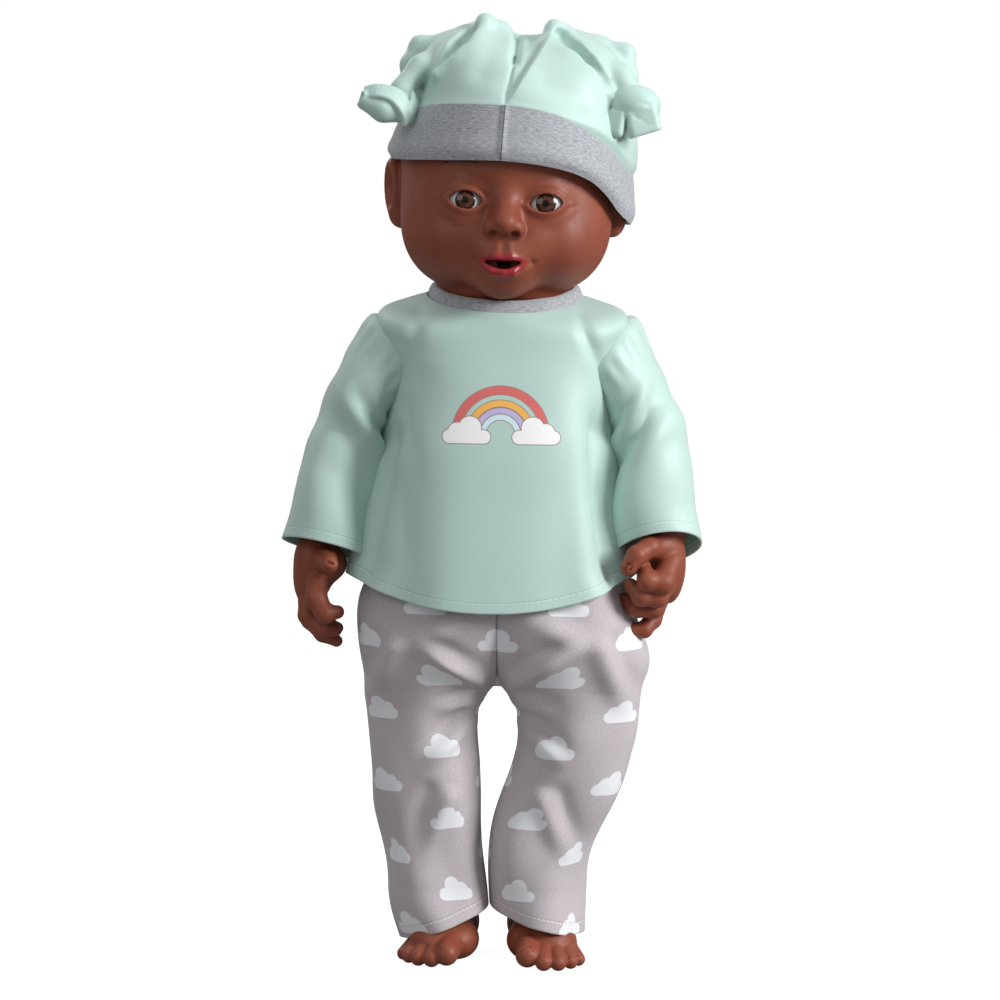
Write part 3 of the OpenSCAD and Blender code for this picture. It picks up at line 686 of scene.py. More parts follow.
def toes_of(side):
    """(base, tip, base radius, tip radius) of each toe, big toe first."""
    if side == LEFT:
        bases = [(16.5, -22, 9.0), (22.5, -23, 8.2), (28.0, -23, 7.6), (32.5, -21, 7.0), (35.6, -17, 6.2)]
        tips = [(15.6, -34.5, 6.4), (23.0, -37.5, 4.2), (29.6, -37.0, 4.0), (35.2, -34.0, 4.0),
                (38.9, -29.0, 3.9)]
        radii = [5.3, 3.9, 3.7, 3.4, 3.1]
    else:
        bases = [(-18.6, -21, 9.2), (-25.0, -21, 8.4), (-30.0, -18.5, 7.6), (-33.6, -15, 7.0),
                 (-36.4, -11, 6.2)]
        tips = [(-20.8, -34.5, 6.6), (-27.6, -34.5, 4.4), (-33.6, -31.5, 4.0), (-38.0, -27.5, 3.9),
                (-40.6, -22.5, 3.8)]
        radii = [5.3, 3.9, 3.7, 3.3, 3.0]
    return [(b, t, r * 1.12, r) for b, t, r in zip(bases, tips, radii)]


def leg_field(side):
    def field(x, y, z):
        hip, knee, ankle = (side * 40.3, 0, 139.3), (side * 31, -1.5, 82), (side * 21.5, 3, 32)
        f = rod(x, y, z, hip, knee, 18.6, 15.6)
        f = join(f, rod(x, y, z, knee, ankle, 15.6, 12.6), 6)
        f = join(f, egg(x, y, z, (side * 17.0, 10.6, 12.0), (10.6, 11.4, 12.2)), 8)
        f = join(f, rod(x, y, z, (side * 20.0, 3, 24), (side * 25.5, -15, 10.5), 12.4, 9.4), 6)
        f = join(f, egg(x, y, z, (side * 25.0, -16, 8.8), (13.2, 13.5, 8.6)), 6)
        f = join(f, egg(x, y, z, (side * 14.5, -12, 8.6), (8.2, 13.0, 8.4)), 5)
        for toe in toes_of(side):
            f = join(f, rod(x, y, z, *toe), 0.9)
        # nails, as pressed-in outlines
        for base, tip, _, r1 in toes_of(side):
            c = np.array(tip) + (0, -0.45 * r1, 0.62 * r1)
            out = np.array(tip) - base
            out = out / np.linalg.norm(out)
            nail = egg(x, y, z, c + out * 0.35 * r1, (0.56 * r1, 0.62 * r1, 0.5 * r1))
            f = carve(f, np.maximum(np.abs(nail + 0.1) - 0.16, c[2] - 0.2 * r1 - z), 0.2)
        return np.maximum(f, 0.02 - z)      # flat under the sole
    return field


def no_masks(x, y, z):
    """Skin without lips, mouth, brows or blush."""
    return {mask: 0 * x for mask in ("lip", "mouth", "brow", "blush")}


def make_limbs():
    skin = skin_material()
    for side, word in SIDES:
        x_low = 34 if side == LEFT else -100
        low, high = (x_low, -42, 138), (x_low + 66, 20, 294)
        arm = field_piece(f"arm_skin_{word}", arm_field(side), low, high, STEP, no_masks)
        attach(arm, f"arm_{word}_body")
        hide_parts(f"arm_{word}")
        arm.data.materials.append(skin)
        x_low = 2 if side == LEFT else -64
        low, high = (x_low, -44, -1), (x_low + 62, 30, 162)
        leg = field_piece(f"leg_skin_{word}", leg_field(side), low, high, STEP, no_masks)
        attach(leg, f"leg_{word}_body")
        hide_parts(f"leg_{word}")
        leg.data.materials.append(skin)


# ---------------------------------------------------------------- cloth

CLOTH = 0.9                        # how thick the clothes' fabric is
NO_HEM = 99.0                      # further than any seam's stitches


def curve(stops, t):
    """Smooth curve through (place, value) stops; values may be vectors."""
    at = np.array([s[0] for s in stops], float)
    values = np.array([s[1] for s in stops], float)
    slope = np.gradient(values, at, axis=0)
    t = np.clip(t, at[0], at[-1])
    i = np.clip(np.searchsorted(at, t) - 1, 0, len(at) - 2)
    h = at[i + 1] - at[i]
    k = (t - at[i]) / h
    if values.ndim > 1:
        k, h = k[..., None], h[..., None]
    a = (2 * k ** 3 - 3 * k ** 2 + 1) * values[i] + (k ** 3 - 2 * k ** 2 + k) * h * slope[i]
    return a + (3 * k ** 2 - 2 * k ** 3) * values[i + 1] + (k ** 3 - k ** 2) * h * slope[i + 1]


def ripple(p, seed, size=30.0, waves=5):
    """Gentle unevenness: a few slow waves across space, from -1 to 1."""
    chance = np.random.default_rng(seed)
    total = 0
    for _ in range(waves):
        way = chance.normal(size=3)
        way *= (2 * math.pi / size) * chance.uniform(0.6, 1.4) / np.linalg.norm(way)
        total = total + np.sin(p @ way + chance.uniform(0, 6.28))
    return total / waves


def renumbered(quads):
    """The vertices that quads use, and quads counted among those alone."""
    used = np.unique(quads)
    number = -np.ones(used[-1] + 1, int)
    number[used] = np.arange(len(used))
    return used, number[quads]


def keep_cloth(piece, coords):
    """Stores the flat cloth's coordinates on the piece."""
    stored = piece.data.attributes.new("cloth", "FLOAT_VECTOR", "POINT")
    stored.data.foreach_set("vector", coords.astype(np.float32).ravel())


def beside(x, z, x0, z0, dx, dz):
    """How far points are along a line from (x0, z0), and how far to its side."""
    return (x - x0) * dx + (z - z0) * dz, (x - x0) * dz - (z - z0) * dx


def cloth_grid(name, place, across, down, fold, outward, closed=True, hem_at_end=True, drop=None,
               after=None, upright=False):
    """A cloth surface from place(u, v); fold gives its displacement outwards, in millimetres.

    Keeps on it: cloth, the flat cloth's coordinates (upright: heights, so a print stays level);
    rest, where it lies; hem, how far the hem is. drop picks faces to leave out, and after moves the
    finished points.
    """
    u = np.arange(across) / across if closed else np.linspace(0, 1, across)
    v = np.linspace(0, 1, down)
    uu, vv = np.meshgrid(u, v)
    p = place(uu, vv)
    if closed:
        du = np.roll(p, -1, 1) - np.roll(p, 1, 1)
    else:
        du = np.gradient(p, axis=1)
    dv = np.gradient(p, axis=0)
    n = np.cross(du, dv) * outward
    n /= np.maximum(np.linalg.norm(n, axis=2, keepdims=True), 1e-9)
    side_steps = np.linalg.norm(np.diff(p, axis=1), axis=2).mean(0)
    s = np.concatenate([[0], np.cumsum(side_steps)])
    steps = np.linalg.norm(np.diff(p, axis=0), axis=2)
    t = np.concatenate([np.zeros((1, p.shape[1])), np.cumsum(steps, 0)])
    hem = t[-1] - t if hem_at_end else t * 0 + NO_HEM
    if upright:
        t = p[0, :, 2].max() - p[..., 2]
    p = p + n * fold(uu, vv, p)[..., None]
    coords = np.stack([np.broadcast_to(s, t.shape), t, np.zeros_like(t)], 2)
    pos = p.copy()
    if after is not None:
        p = after(p.reshape(-1, 3)).reshape(p.shape)
    rows, cols = p.shape[:2]
    last = cols if closed else cols - 1
    i, j = np.meshgrid(np.arange(rows - 1), np.arange(last), indexing="ij")
    k = (j + 1) % cols
    quads = np.stack([i * cols + j, i * cols + k, (i + 1) * cols + k, (i + 1) * cols + j], 2)
    quads = quads.reshape(-1, 4)
    if outward > 0:
        quads = quads[:, ::-1]
    flat_pos = pos.reshape(-1, 3)
    if drop is not None:
        quads = quads[~drop(flat_pos[quads].mean(1))]
    used, quads = renumbered(quads)
    piece = mesh_piece(name, p.reshape(-1, 3)[used], quads, flat_pos[used], {"hem": hem.ravel()[used]})
    keep_cloth(piece, coords.reshape(-1, 3)[used])
    if outward > 0:
        piece.data.flip_normals()
    return piece


def thicken(piece, thickness=CLOTH):
    make = piece.modifiers.new("thickness", "SOLIDIFY")
    make.thickness = thickness * MM
    make.offset = -1
    make.use_even_offset = False


# ---------------------------------------------------------------- top

HEM_FRONT, HEM_SIDE_RISE = 162.5, 15.5
# The body's half width, depth in front, depth behind and drop from the neckline, by place down it.
TOP_HALF = ((0, 34.5), (0.05, 43.5), (0.10, 53.0), (0.15, 56.4), (0.22, 52.5), (0.30, 48.2), (0.40, 48.5),
            (0.52, 52.0), (0.66, 57.0), (0.80, 62.0), (1.0, 67.5))
TOP_FRONT = ((0, 35.0), (0.05, 36.5), (0.10, 37.6), (0.15, 38.6), (0.22, 40.0), (0.30, 42.0), (0.40, 44.0),
             (0.52, 46.4), (0.66, 48.0), (0.80, 49.5), (1.0, 50.5))
TOP_BACK = ((0, 33.0), (0.05, 34.5), (0.10, 35.5), (0.15, 36.5), (0.30, 38.5), (0.52, 41.5), (0.80, 45.5),
            (1.0, 48.0))
TOP_LENGTH = 140.0
TOP_DROP = ((0, 0), (0.05, 3.0), (0.10, 6.8), (0.15, 11.6), (0.22, 21), (0.30, 33.0), (0.40, 47.0),
            (0.66, 87.0), (1.0, TOP_LENGTH))
# Folds hanging from the armholes, as (start x, start z, direction x, direction z, depth, width).
TOP_FOLDS = ((-44, 258, 0.16, -0.98, 1.1, 4.5), (-46, 226, 0.10, -0.99, 1.3, 5.5),
             (45, 250, -0.12, -0.99, 1.0, 5.0), (47, 222, -0.05, -1.0, 1.3, 5.5),
             (-37, 294, -0.22, -0.97, 0.9, 3.6), (34, 293, 0.42, -0.91, 1.2, 3.2))
# Lines along which the sleeves hang against it.
TOP_PRESSED = (((-60, -27, 188), (-55, -24, 238)), ((55, -32, 186), (51, -28, 244)))


def bodice_place(u, v):
    """The top's body: u goes round from the back, v from the neckline over the shoulders to the hem."""
    a = 2 * math.pi * u + math.pi / 2
    cx, sy = np.cos(a), np.sin(a)
    rx = curve(TOP_HALF, v)
    ry = np.where(sy < 0, curve(TOP_FRONT, v), curve(TOP_BACK, v))
    # height: the neckline dips in front; the shoulders slope; below, straight down to the curved hem
    neck = 303.5 + 8.5 * np.minimum(sy, 0) + 3.0 * np.maximum(sy, 0)
    low = HEM_FRONT + HEM_SIDE_RISE * np.abs(cx) ** 1.8
    z = neck - curve(TOP_DROP, v) * (neck - low) / TOP_LENGTH
    # flatter in front and behind than an ellipse
    power = 2 / (2 + 0.8 * ramp(v, 0.04, 0.14) - 0.45 * ramp(v, 0.45, 0.8))
    x = rx * np.sign(cx) * np.abs(cx) ** power - 3.8 * ramp(v, 0.3, 1.0)
    y = ry * np.sign(sy) * np.abs(sy) ** power + 1.0
    return np.stack([x, y, z], -1)


def bodice_fold(u, v, p):
    a = 2 * math.pi * u + math.pi / 2
    side = np.abs(np.cos(a))
    flare = ramp(v, 0.45, 1.0)
    wave = 1.5 * flare * np.sin(7 * a + 1.1) * (0.35 + 0.65 * side)
    wave += 0.9 * flare * np.sin(13 * a + 0.4) * side
    in_front = p[..., 1] < 5
    for x0, z0, dx, dz, deep, wide in TOP_FOLDS:
        along, off = beside(p[..., 0], p[..., 2], x0, z0, dx, dz)
        length = ramp(along, -6, 8) * (1 - ramp(along, 14, 52))
        wave = wave - 1.7 * deep * hump(off, wide) * length * in_front
    for low_end, high_end in TOP_PRESSED:
        wave = wave - 8.5 * hump(rod(*np.moveaxis(p, -1, 0), low_end, high_end, 0, 0), 12)
    return wave + 0.45 * ripple(p, 3, 46) * ramp(v, 0.1, 0.3)


def armhole(centre):
    """Faces of the body inside the armholes, where the sleeves are joined on."""
    x, y, z = centre.T
    return (np.abs(x) > 40) & ((y - 1) ** 2 / 20.5 ** 2 + (z - 272.5) ** 2 / 18.0 ** 2 < 1)


# Sleeve rings: place along, centre, half width (across), half depth (front to back), rise of the ring's
# front edge over its back edge, and of its outer edge over its inner edge, in millimetres.
RIGHT_SLEEVE = (
    (0.00, (-45.5, 0.5, 274.5), 7.4, 23.5, 0, 38.0),
    (0.06, (-52.0, 0.5, 274.0), 8.3, 24.3, 0, 40.0),
    (0.14, (-58.0, 0.0, 266.5), 10.0, 23.5, 0, 33.0),
    (0.32, (-64.8, -1.5, 254.5), 13.3, 21.5, 2, 21.0),
    (0.55, (-70.7, -3.5, 234.5), 16.3, 19.5, 4, 9.0),
    (0.78, (-75.0, -8.5, 211.5), 18.6, 18.2, 6, 8.0),
    (1.00, (-79.6, -12.5, 187.6), 20.0, 18.0, 8.5, 8.5),
)
LEFT_SLEEVE = (
    (0.00, (45.8, 0.5, 274.5), 7.2, 23.5, 0, 38.0),
    (0.06, (52.0, 0.5, 274.0), 8.0, 24.3, 0, 40.0),
    (0.14, (57.0, 0.0, 266.8), 9.0, 23.5, 0, 33.5),
    (0.32, (61.5, -2.5, 254.5), 11.0, 21.5, 3, 23.0),
    (0.55, (66.8, -6.0, 235.5), 15.2, 19.5, 7, 15.0),
    (0.78, (68.6, -9.5, 212.5), 18.8, 18.4, 12, 9.0),
    (1.00, (72.6, -13.0, 189.6), 18.3, 17.6, 18.0, 5.0),
)


def sleeve_place(side):
    rings = LEFT_SLEEVE if side == LEFT else RIGHT_SLEEVE
    parts = [[(r[0], r[i]) for r in rings] for i in range(1, 6)]

    def place(u, v):
        a = 2 * math.pi * u + math.pi
        c, wide, deep, front_up, out_up = (curve(stops, v) for stops in parts)
        out = np.cos(a)
        back = np.sin(a)
        # squarer than an ellipse, as flat cloth folded at two edges is
        pull = 6.5 * (1 - ramp(v, 0.0, 0.3)) * (1 - out ** 2)
        x = c[..., 0] + side * (wide * out - pull)
        y = c[..., 1] + deep * back * (1 - 0.06 * out ** 2)
        z = c[..., 2] - 0.5 * front_up * back + 0.5 * out_up * out
        return np.stack([x, y, z], -1)
    return place


def sleeve_fold(side):
    def fold(u, v, p):
        a = 2 * math.pi * u + math.pi
        bend = hump(v - 0.42, 0.2)
        inner = 0.4 + 0.6 * ramp(0.4 - np.cos(a), -0.4, 0.4)
        wave = 1.1 * bend * np.sin(26 * v + 3.2 * np.cos(a + 0.6) + side) * inner
        wave += 1.0 * hump(v - 0.72, 0.2) * np.sin(3 * a + 5.0 * v + 1.5 * side)
        wave += 0.9 * np.sin(2 * a + 9 * v + side) * ramp(v, 0.1, 0.3) * (1 - 0.6 * ramp(v, 0.85, 1))
        gather = 0.4 * np.sin(17 * a + 2) * (1 - ramp(v, 0.06, 0.2)) * ramp(v, 0.05, 0.1)
        return wave * 1.75 + gather + 0.5 * ripple(p, 11 + side, 32) * ramp(v, 0.05, 0.2)
    return fold


def make_top():
    body = cloth_grid("top_body", bodice_place, 300, 190, bodice_fold, -1, drop=armhole)
    thicken(body)
    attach(body, "torso")
    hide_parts("top_bodice")
    body.data.materials.append(mint_material(True))
    for side, word in SIDES:
        sleeve = cloth_grid(f"sleeve_cloth_{word}", sleeve_place(side), 150, 130, sleeve_fold(side), side)
        thicken(sleeve)
        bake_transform(sleeve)
        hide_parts(f"sleeve_{word}")
        sleeve.data.materials.append(mint_material(False))
    make_neckband()


def make_neckband():
    """A folded band of grey jersey round the neckline, lower in front."""
    radius, thick, tall = 33.0, 2.1, 4.7

    def place(u, v):
        a = 2 * math.pi * u + math.pi / 2
        b = 2 * math.pi * v
        cx, sy = np.cos(a), np.sin(a)
        middle = 304.6 + 8.3 * np.minimum(sy, 0) + 2.5 * np.maximum(sy, 0)
        r = radius + thick * np.cos(b) - 1.1 * np.sin(b)
        return np.stack([r * cx + 0.9, (r + 0.4) * sy + 0.9, middle + tall * np.sin(b)], -1)

    def fold(u, v, p):
        return 0.35 * ripple(p, 5, 14)
    neckband = cloth_grid("neckband_jersey", place, 200, 24, fold, 1, hem_at_end=False)
    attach(neckband, "torso")
    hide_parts("top_neckband")
    neckband.data.materials.append(jersey_material())


# ---------------------------------------------------------------- trousers

TROUSER_TOP, CROTCH = 198.5, 126
# Rows of height, outer edge, centre of the leg, half depth.
TROUSER_SHAPE = (
    (199, 46.0, 0.0, 39.5), (185, 52.5, 6.0, 41.5), (167, 59.5, 14.0, 42.0), (150, 63.0, 22.0, 40.0),
    (137, 63.5, 27.5, 36.0), (126, 62.0, 31.0, 31.5), (118, 61.0, 33.2, 28.8), (100, 59.5, 33.4, 26.5),
    (86, 57.0, 31.8, 25.0), (72, 54.0, 29.4, 24.2), (55, 49.5, 26.2, 23.2), (40, 47.5, 24.6, 22.6),
    (28, 46.0, 23.6, 22.2), (10, 44.0, 22.6, 21.6),
)


# Creases fanning out from the crotch, one down the front and slack at the knee, as
# (start x, start z, direction x, direction z, depth, width, length); x is away from the middle.
TROUSER_CREASES = ((4, 128, 0.86, 0.5, 2.6, 3.6, 42), (5, 120, 0.97, -0.2, 1.6, 3.2, 26),
                   (8, 112, 0.75, -0.66, 1.8, 3.8, 34), (10, 160, 0.9, -0.42, 1.5, 5.5, 40),
                   (44, 150, 0.35, -0.94, 1.8, 5.0, 40), (20, 80, 0.35, -0.94, 1.4, 4.6, 40))


def trouser_place(side):
    heights = [-row[0] for row in TROUSER_SHAPE]
    shape = [[(h, row[i]) for h, row in zip(heights, TROUSER_SHAPE)] for i in (1, 2, 3)]

    def place(u, v):
        turn = (u - 0.5) * 2
        # the hem hangs lowest outside, the left one a little higher there
        low = 17.0 - 9.0 * np.cos(turn * math.pi) * 0.9
        low = low + (4.5 if side == LEFT else 1.5) * (np.cos(turn * math.pi * 0.5) ** 4) - 1.5
        z = TROUSER_TOP - (TROUSER_TOP - low) * v
        o, c, d = (curve(stops, -z) for stops in shape)
        rx = o - c
        reach = np.arccos(np.clip(-c / np.maximum(rx, 1e-6), -1, 1))
        # above the crotch the leg stops at the middle; below it the tube is closed
        a = turn * reach
        x = c + rx * np.cos(a)
        y = -1.5 + d * np.sin(a)
        # each leg's own fullness at the hip, knee and hem
        if side == LEFT:
            knee_in = 5.0 * ramp(-z, -112, -60) * hump(z - 45, 40)
            x = x * (1 + 0.075 * hump(z - 138, 15)) + (3.8 * hump(z - 104, 24) - knee_in)
            x = x + (3.0 * hump(z - 78, 14) - 1.5 * hump(z - 45, 12)) * (1 + np.cos(a)) * 0.5
            x = np.where(z > CROTCH, np.maximum(x, 0), x)
            x = x + 1.5 * ramp(-z, -60, -20) * (1 - np.cos(a)) * 0.5
        else:
            x = x * (1 + 0.06 * hump(z - 165, 18))
            x = x + 3.0 * hump(z - 52, 26) - 4.0 * ramp(-z, -32, -6) * (1 + np.cos(a)) * 0.5
            x = x + 1.6 * hump(z - 108, 14) * (1 - np.cos(a)) * 0.5
        # the hem reaches forward over the instep and back round the heel
        y = y - 1.0 * ramp(-z, -120, -60) + 5.5 * ramp(-z, -34, -10) * np.sin(a)
        return np.stack([side * x, y, z], -1)
    return place


def trouser_fold(side):
    def fold(u, v, p):
        x, y, z = p[..., 0] * side, p[..., 1], p[..., 2]
        edge = np.clip(ramp(x, 0.5, 9) + ramp(-z, -122, -112), 0, 1)
        wave = 0.9 * ripple(p, 21 + side, 42)
        front = ramp(-y, -4, 8)
        for x0, z0, dx, dz, deep, wide, long in TROUSER_CREASES:
            along, off = beside(x, z, x0, z0, dx, dz)
            length = ramp(along, -3, 5) * (1 - ramp(along, long * 0.4, long)) * front
            wave = wave - deep * hump(off, wide) * length
            wave = wave + 0.6 * deep * hump(off + 1.9 * wide, wide) * length
        turn = (u - 0.5) * 2 * math.pi
        wave += 0.55 * np.sin(3 * turn + 0.07 * z + 1.6 * side) * ramp(-z, -100, -50)
        wave += 0.4 * np.sin(5 * turn - 0.05 * z) * ramp(-z, -150, -100)
        return 2.1 * wave * edge * (1 - 0.7 * ramp(-np.cos(turn), 0.5, 0.95))
    return fold


def make_trousers():
    for side, word in SIDES:
        leg = cloth_grid(f"trouser_cloth_{word}", trouser_place(side), 170, 240, trouser_fold(side), side,
                         closed=False, upright=True)
        thicken(leg)
        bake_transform(leg)
        seat = ("trouser_seat", "trouser_waistband") if side == LEFT else ()
        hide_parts(f"trouser_leg_{word}", *seat)
        leg.data.materials.append(trouser_material())


# ---------------------------------------------------------------- hat

# Degrees round the brim (0 at the doll's right, 90 in front, 180 at its left) and its lower edge's height.
BRIM_LOW = ((0, 365.2), (15, 362.4), (30, 361.3), (60, 360.7), (90, 360.7), (110, 358.9), (122, 356.6),
            (131, 353.6), (140, 348.8), (150, 342.6), (165, 338.5), (180, 338.0), (225, 341.0),
            (270, 345.0), (315, 355.0), (345, 362.6), (360, 365.2))
BRIM_TALL = ((0, 17.5), (30, 23.2), (90, 24.2), (130, 22.0), (150, 23.5), (180, 24.0), (270, 24.0),
             (330, 21.0), (360, 17.5))
BRIM_INSIDE, BRIM_GAP = 14.0, 2.4  # how far the brim is turned up inside, and between its layers
SEAM_X, SEAM_Z, SEAM_LEAN = -3.8, 361, 0.04        # where the brim is joined in front
HAT_X, HAT_Y = 2.6, 2.6            # the hat's middle


def round_brim(cos_x, sin_y):
    """Degrees round the brim: 0 at the doll's right, 90 in front, 180 at its left."""
    return np.degrees(np.arctan2(-sin_y, -cos_x)) % 360


def brim_edge(cos_x, sin_y):
    """Height of the brim's lower edge, and how tall the brim is."""
    degrees = round_brim(cos_x, sin_y)
    return curve(BRIM_LOW, degrees), curve(BRIM_TALL, degrees)


def make_brim():
    """A doubled band of grey jersey with a rolled lower edge, joined in front."""
    def place(u, v):
        a = 2 * math.pi * u - math.pi / 2
        cx, sy = np.cos(a), np.sin(a)
        low, tall = brim_edge(cx, sy)
        k = np.abs(2 * v - 1)                  # 1 at the outer top and the inner end, 0 at the rolled edge
        outer = v < 0.5
        height = np.where(outer, tall * k, BRIM_INSIDE * k)
        flare = curve([(0, 55.3), (0.12, 56.6), (0.5, 55.6), (1, 53.2)], k)
        rx = flare + np.where(outer, 0, -BRIM_GAP * ramp(k, 0, 0.14))
        x = 1.2 + 2.2 * height / 24 + rx * cx
        y = HAT_Y + (rx + 4.4) * sy
        return np.stack([x, y, low + height], -1)

    def fold(u, v, p):
        a = 2 * math.pi * u - math.pi / 2
        seam = hump(p[..., 0] - SEAM_X - SEAM_LEAN * (p[..., 2] - SEAM_Z), 1.0) * (np.sin(a) < 0)
        outer = v < 0.45
        return outer * (0.5 * ripple(p, 31, 30) - 1.0 * seam)
    brim = cloth_grid("brim_jersey", place, 360, 64, fold, 1, hem_at_end=False, after=tilt_head)
    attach(brim, "hat")
    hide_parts("hat_brim")
    brim.data.materials.append(jersey_material())


def crown_field(x, y, z):
    """The hat's cloth above the brim; left and right are as seen from in front."""
    at = (x, y, z)
    roll = partial(finger, *at)
    f = egg(*at, (3.4, 2.6, 369), (55.0, 59.5, 52))
    # a squarer top: the cloth is a flat-topped bag
    f = add_eggs(f, at, (((-16, -3, 398), (27, 36, 26.5), 8), ((25, -3, 396), (28, 36, 27), 8)))
    # back flaps: the bag's two top corners, folded behind the ears
    left_flap = roll([(-14, 3, 423), (-30, 5, 416.5), (-42.8, 4, 414.6)], [5.4, 5.0, 4.2], 3)
    down = roll([(-42.8, 4, 414.6), (-46.2, 2, 406), (-44.5, -1, 396)], [4.3, 4.8, 6], 3)
    left_flap = add_eggs(join(left_flap, down, 4), at, [((-33, 4, 406), 9, 6)])
    right_flap = roll([(23, 5, 421.5), (38, 6, 418), (50.4, 4, 415.2)], [5.2, 5.0, 4.2], 3)
    down = roll([(50.4, 4, 415.2), (51.6, 2, 405), (51.5, -1, 392)], [4.3, 4.8, 6.5], 3)
    right_flap = add_eggs(join(right_flap, down, 4), at, [((42, 4, 405), 9.5, 6)])
    # the ears: rolled cloth running down to the knots
    left_ear = roll([(-22, -9, 419.5), (-31.5, -15, 411), (-41, -21, 402.5), (-49, -26, 392)],
                    [4.4, 5.0, 5.4, 5.6], 4)
    right_ear = roll([(28, -10, 418), (38, -16, 410), (47, -22, 401.5), (53, -26, 393)],
                     [4.6, 5.6, 6.2, 6.2], 4)
    # loops at the two peaks, standing up in front of the ears
    left_loop = roll([(-34, -32, 399.0), (-24.5, -31, 404.5), (-17, -26, 412), (-13.5, -16, 424.6)],
                     [3.0, 3.2, 3.4, 3.6], 4)
    left_loop = join(left_loop, roll([(-13.5, -16, 424.3), (-7, -11, 420.5), (-2, -12, 413)],
                                     [3.8, 5.0, 8.0], 4), 3)
    right_loop = roll([(4, -34, 398), (11, -25, 411), (17.5, -17, 423.0), (23.5, -15, 422.0)],
                      [7.0, 4.4, 3.4, 2.8], 4)
    right_loop = join(right_loop, roll([(23.5, -15, 422.0), (28.5, -18, 415.5), (36, -24, 406.5)],
                                       [2.8, 2.6, 3.0], 3), 2)
    lower_rim = roll([(14, -24, 413.0), (24, -29, 408.0), (35, -30, 401.5), (45, -31, 391.5)],
                     [4.5, 3.4, 3.0, 3.0], 4)
    for part, k in ((left_flap, 4), (right_flap, 4), (left_ear, 2.4), (right_ear, 2.4), (left_loop, 3),
                    (right_loop, 3), (lower_rim, 4)):
        f = join(f, part, k)
    # openings of the two rolls
    f = carve(f, roll([(-19.2, -20, 420.6), (-23.5, -26, 414.8), (-29, -30, 408.8), (-37, -33, 401.5)],
                      [2.6, 3.9, 3.0, 1.2], 2), 2.2)
    f = carve(f, roll([(20.4, -21, 420.0), (25.5, -27, 414.5), (33, -31, 408.2), (41, -33, 401.2),
                       (47, -34, 394.5)], [2.9, 3.7, 2.7, 1.8, 0.9], 2), 2.2)
    # creases and ridges, drawn on the front in x and z
    front = ramp(-y, -2, 12)
    level = y * 0

    def crease(f, a, b, deep, wide):
        line = rod(x, level, z, (a[0], 0, a[1]), (b[0], 0, b[1]), 0, 0)
        return f + deep * hump(line, wide) * front

    def ledge(f, a, b, deep, wide, swell):
        """A fold's edge: the cloth drops by deep to one side of the line a-b and swells on the other."""
        long = math.hypot(b[0] - a[0], b[1] - a[1])
        along, off = (far / long for far in beside(x, z, *a, b[0] - a[0], b[1] - a[1]))
        reach = ramp(along, -1, 10) * ramp(long - along, -4, 8) * front
        drop = deep * ramp(-off, -0.7, 0.9) * np.exp(np.minimum(off, 0) / wide)
        rise = swell * ramp(off, -0.7, 0.9) * np.exp(-np.maximum(off, 0) / wide)
        return f + (drop - rise) * reach
    f = crease(f, (1.8, 423), (0.5, 406), 3.0, 1.8)
    f = crease(f, (0.5, 408), (-3.0, 386.5), 1.3, 0.8)
    f = ledge(f, (-2.5, 386), (15.0, 419), 2.6, 6.5, 1.2)
    f = crease(f, (-8, 417), (-14, 400), 0.8, 5.0)
    f = crease(f, (-38, 397), (-41.5, 390), 1.3, 3.0)
    f = crease(f, (14, 396), (30, 388), 0.9, 4.5)
    f = crease(f, (40, 398), (48, 380), 1.0, 3.5)
    # drawn in where the brim covers it, but filling the brim's top edge
    q_x, q_y = x - HAT_X, y - HAT_Y
    size = np.sqrt(q_x ** 2 + q_y ** 2) + 1e-6
    low, tall = brim_edge(q_x / size, q_y / size)
    above = z - low - tall
    f = f + 2.2 * (1 - ramp(above, -3.5, 1.5)) * ramp(size, 20, 35)
    rim = egg(x, y, level, (3.2, 2.6, 0), (52.4, 56.8, 1e6))
    rim = np.maximum((rim + 1.2 * np.maximum(above, 0)) * 0.8, np.abs(above - 0.5) - 2.5)
    return join(f, rim, 2.5)


def make_crown():
    tuck = 13.5                        # how far up inside the brim the crown ends
    step = STEP
    verts, quads = net_of(crown_field, (-66, -64, 340), (72, 68, 434), step)
    verts = settled(crown_field, verts)
    centre = verts[quads].mean(1)
    q = centre - np.array((HAT_X, HAT_Y, 0))
    size = np.maximum(np.hypot(q[:, 0], q[:, 1]), 1)
    low, _ = brim_edge(q[:, 0] / size, q[:, 1] / size)
    used, quads = renumbered(quads[centre[:, 2] > low + tuck])
    rest = verts[used]
    crown = mesh_piece("crown_cloth", tilt_head(rest), quads, rest, {"hem": np.full(len(rest), NO_HEM)})
    keep_cloth(crown, rest * (1, 0.8, 1))
    thicken(crown, 1.0)
    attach(crown, "hat")
    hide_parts("hat_crown")
    crown.data.materials.append(mint_material(False))


def band(x, y, z, path, facings, wide, thick, pieces=14):
    """A flat strip of cloth along a smooth path, reaching wide to each side, turning to face facings."""
    at = np.linspace(0, 1, len(path))
    t = np.linspace(0, 1, pieces + 1)
    points = curve(list(zip(at, path)), t)
    turns = curve(list(zip(at, facings)), (t[:-1] + t[1:]) / 2)
    total = None
    # one flat slab for each stretch
    for a, b, facing in zip(points[:-1], points[1:], turns):
        long = np.linalg.norm(b - a)
        way = (b - a) / long
        out = facing - facing.dot(way) * way
        out /= np.linalg.norm(out)
        side = np.cross(out, way)
        dx, dy, dz = x - a[0], y - a[1], z - a[2]
        along, off, up = (dx * w[0] + dy * w[1] + dz * w[2] for w in (way, side, out))
        past = along - np.clip(along, 0, long)
        d = np.sqrt(np.maximum(np.abs(off) - wide, 0) ** 2 + up ** 2 + past ** 2) - thick
        total = d if total is None else np.minimum(total, d)
    return total


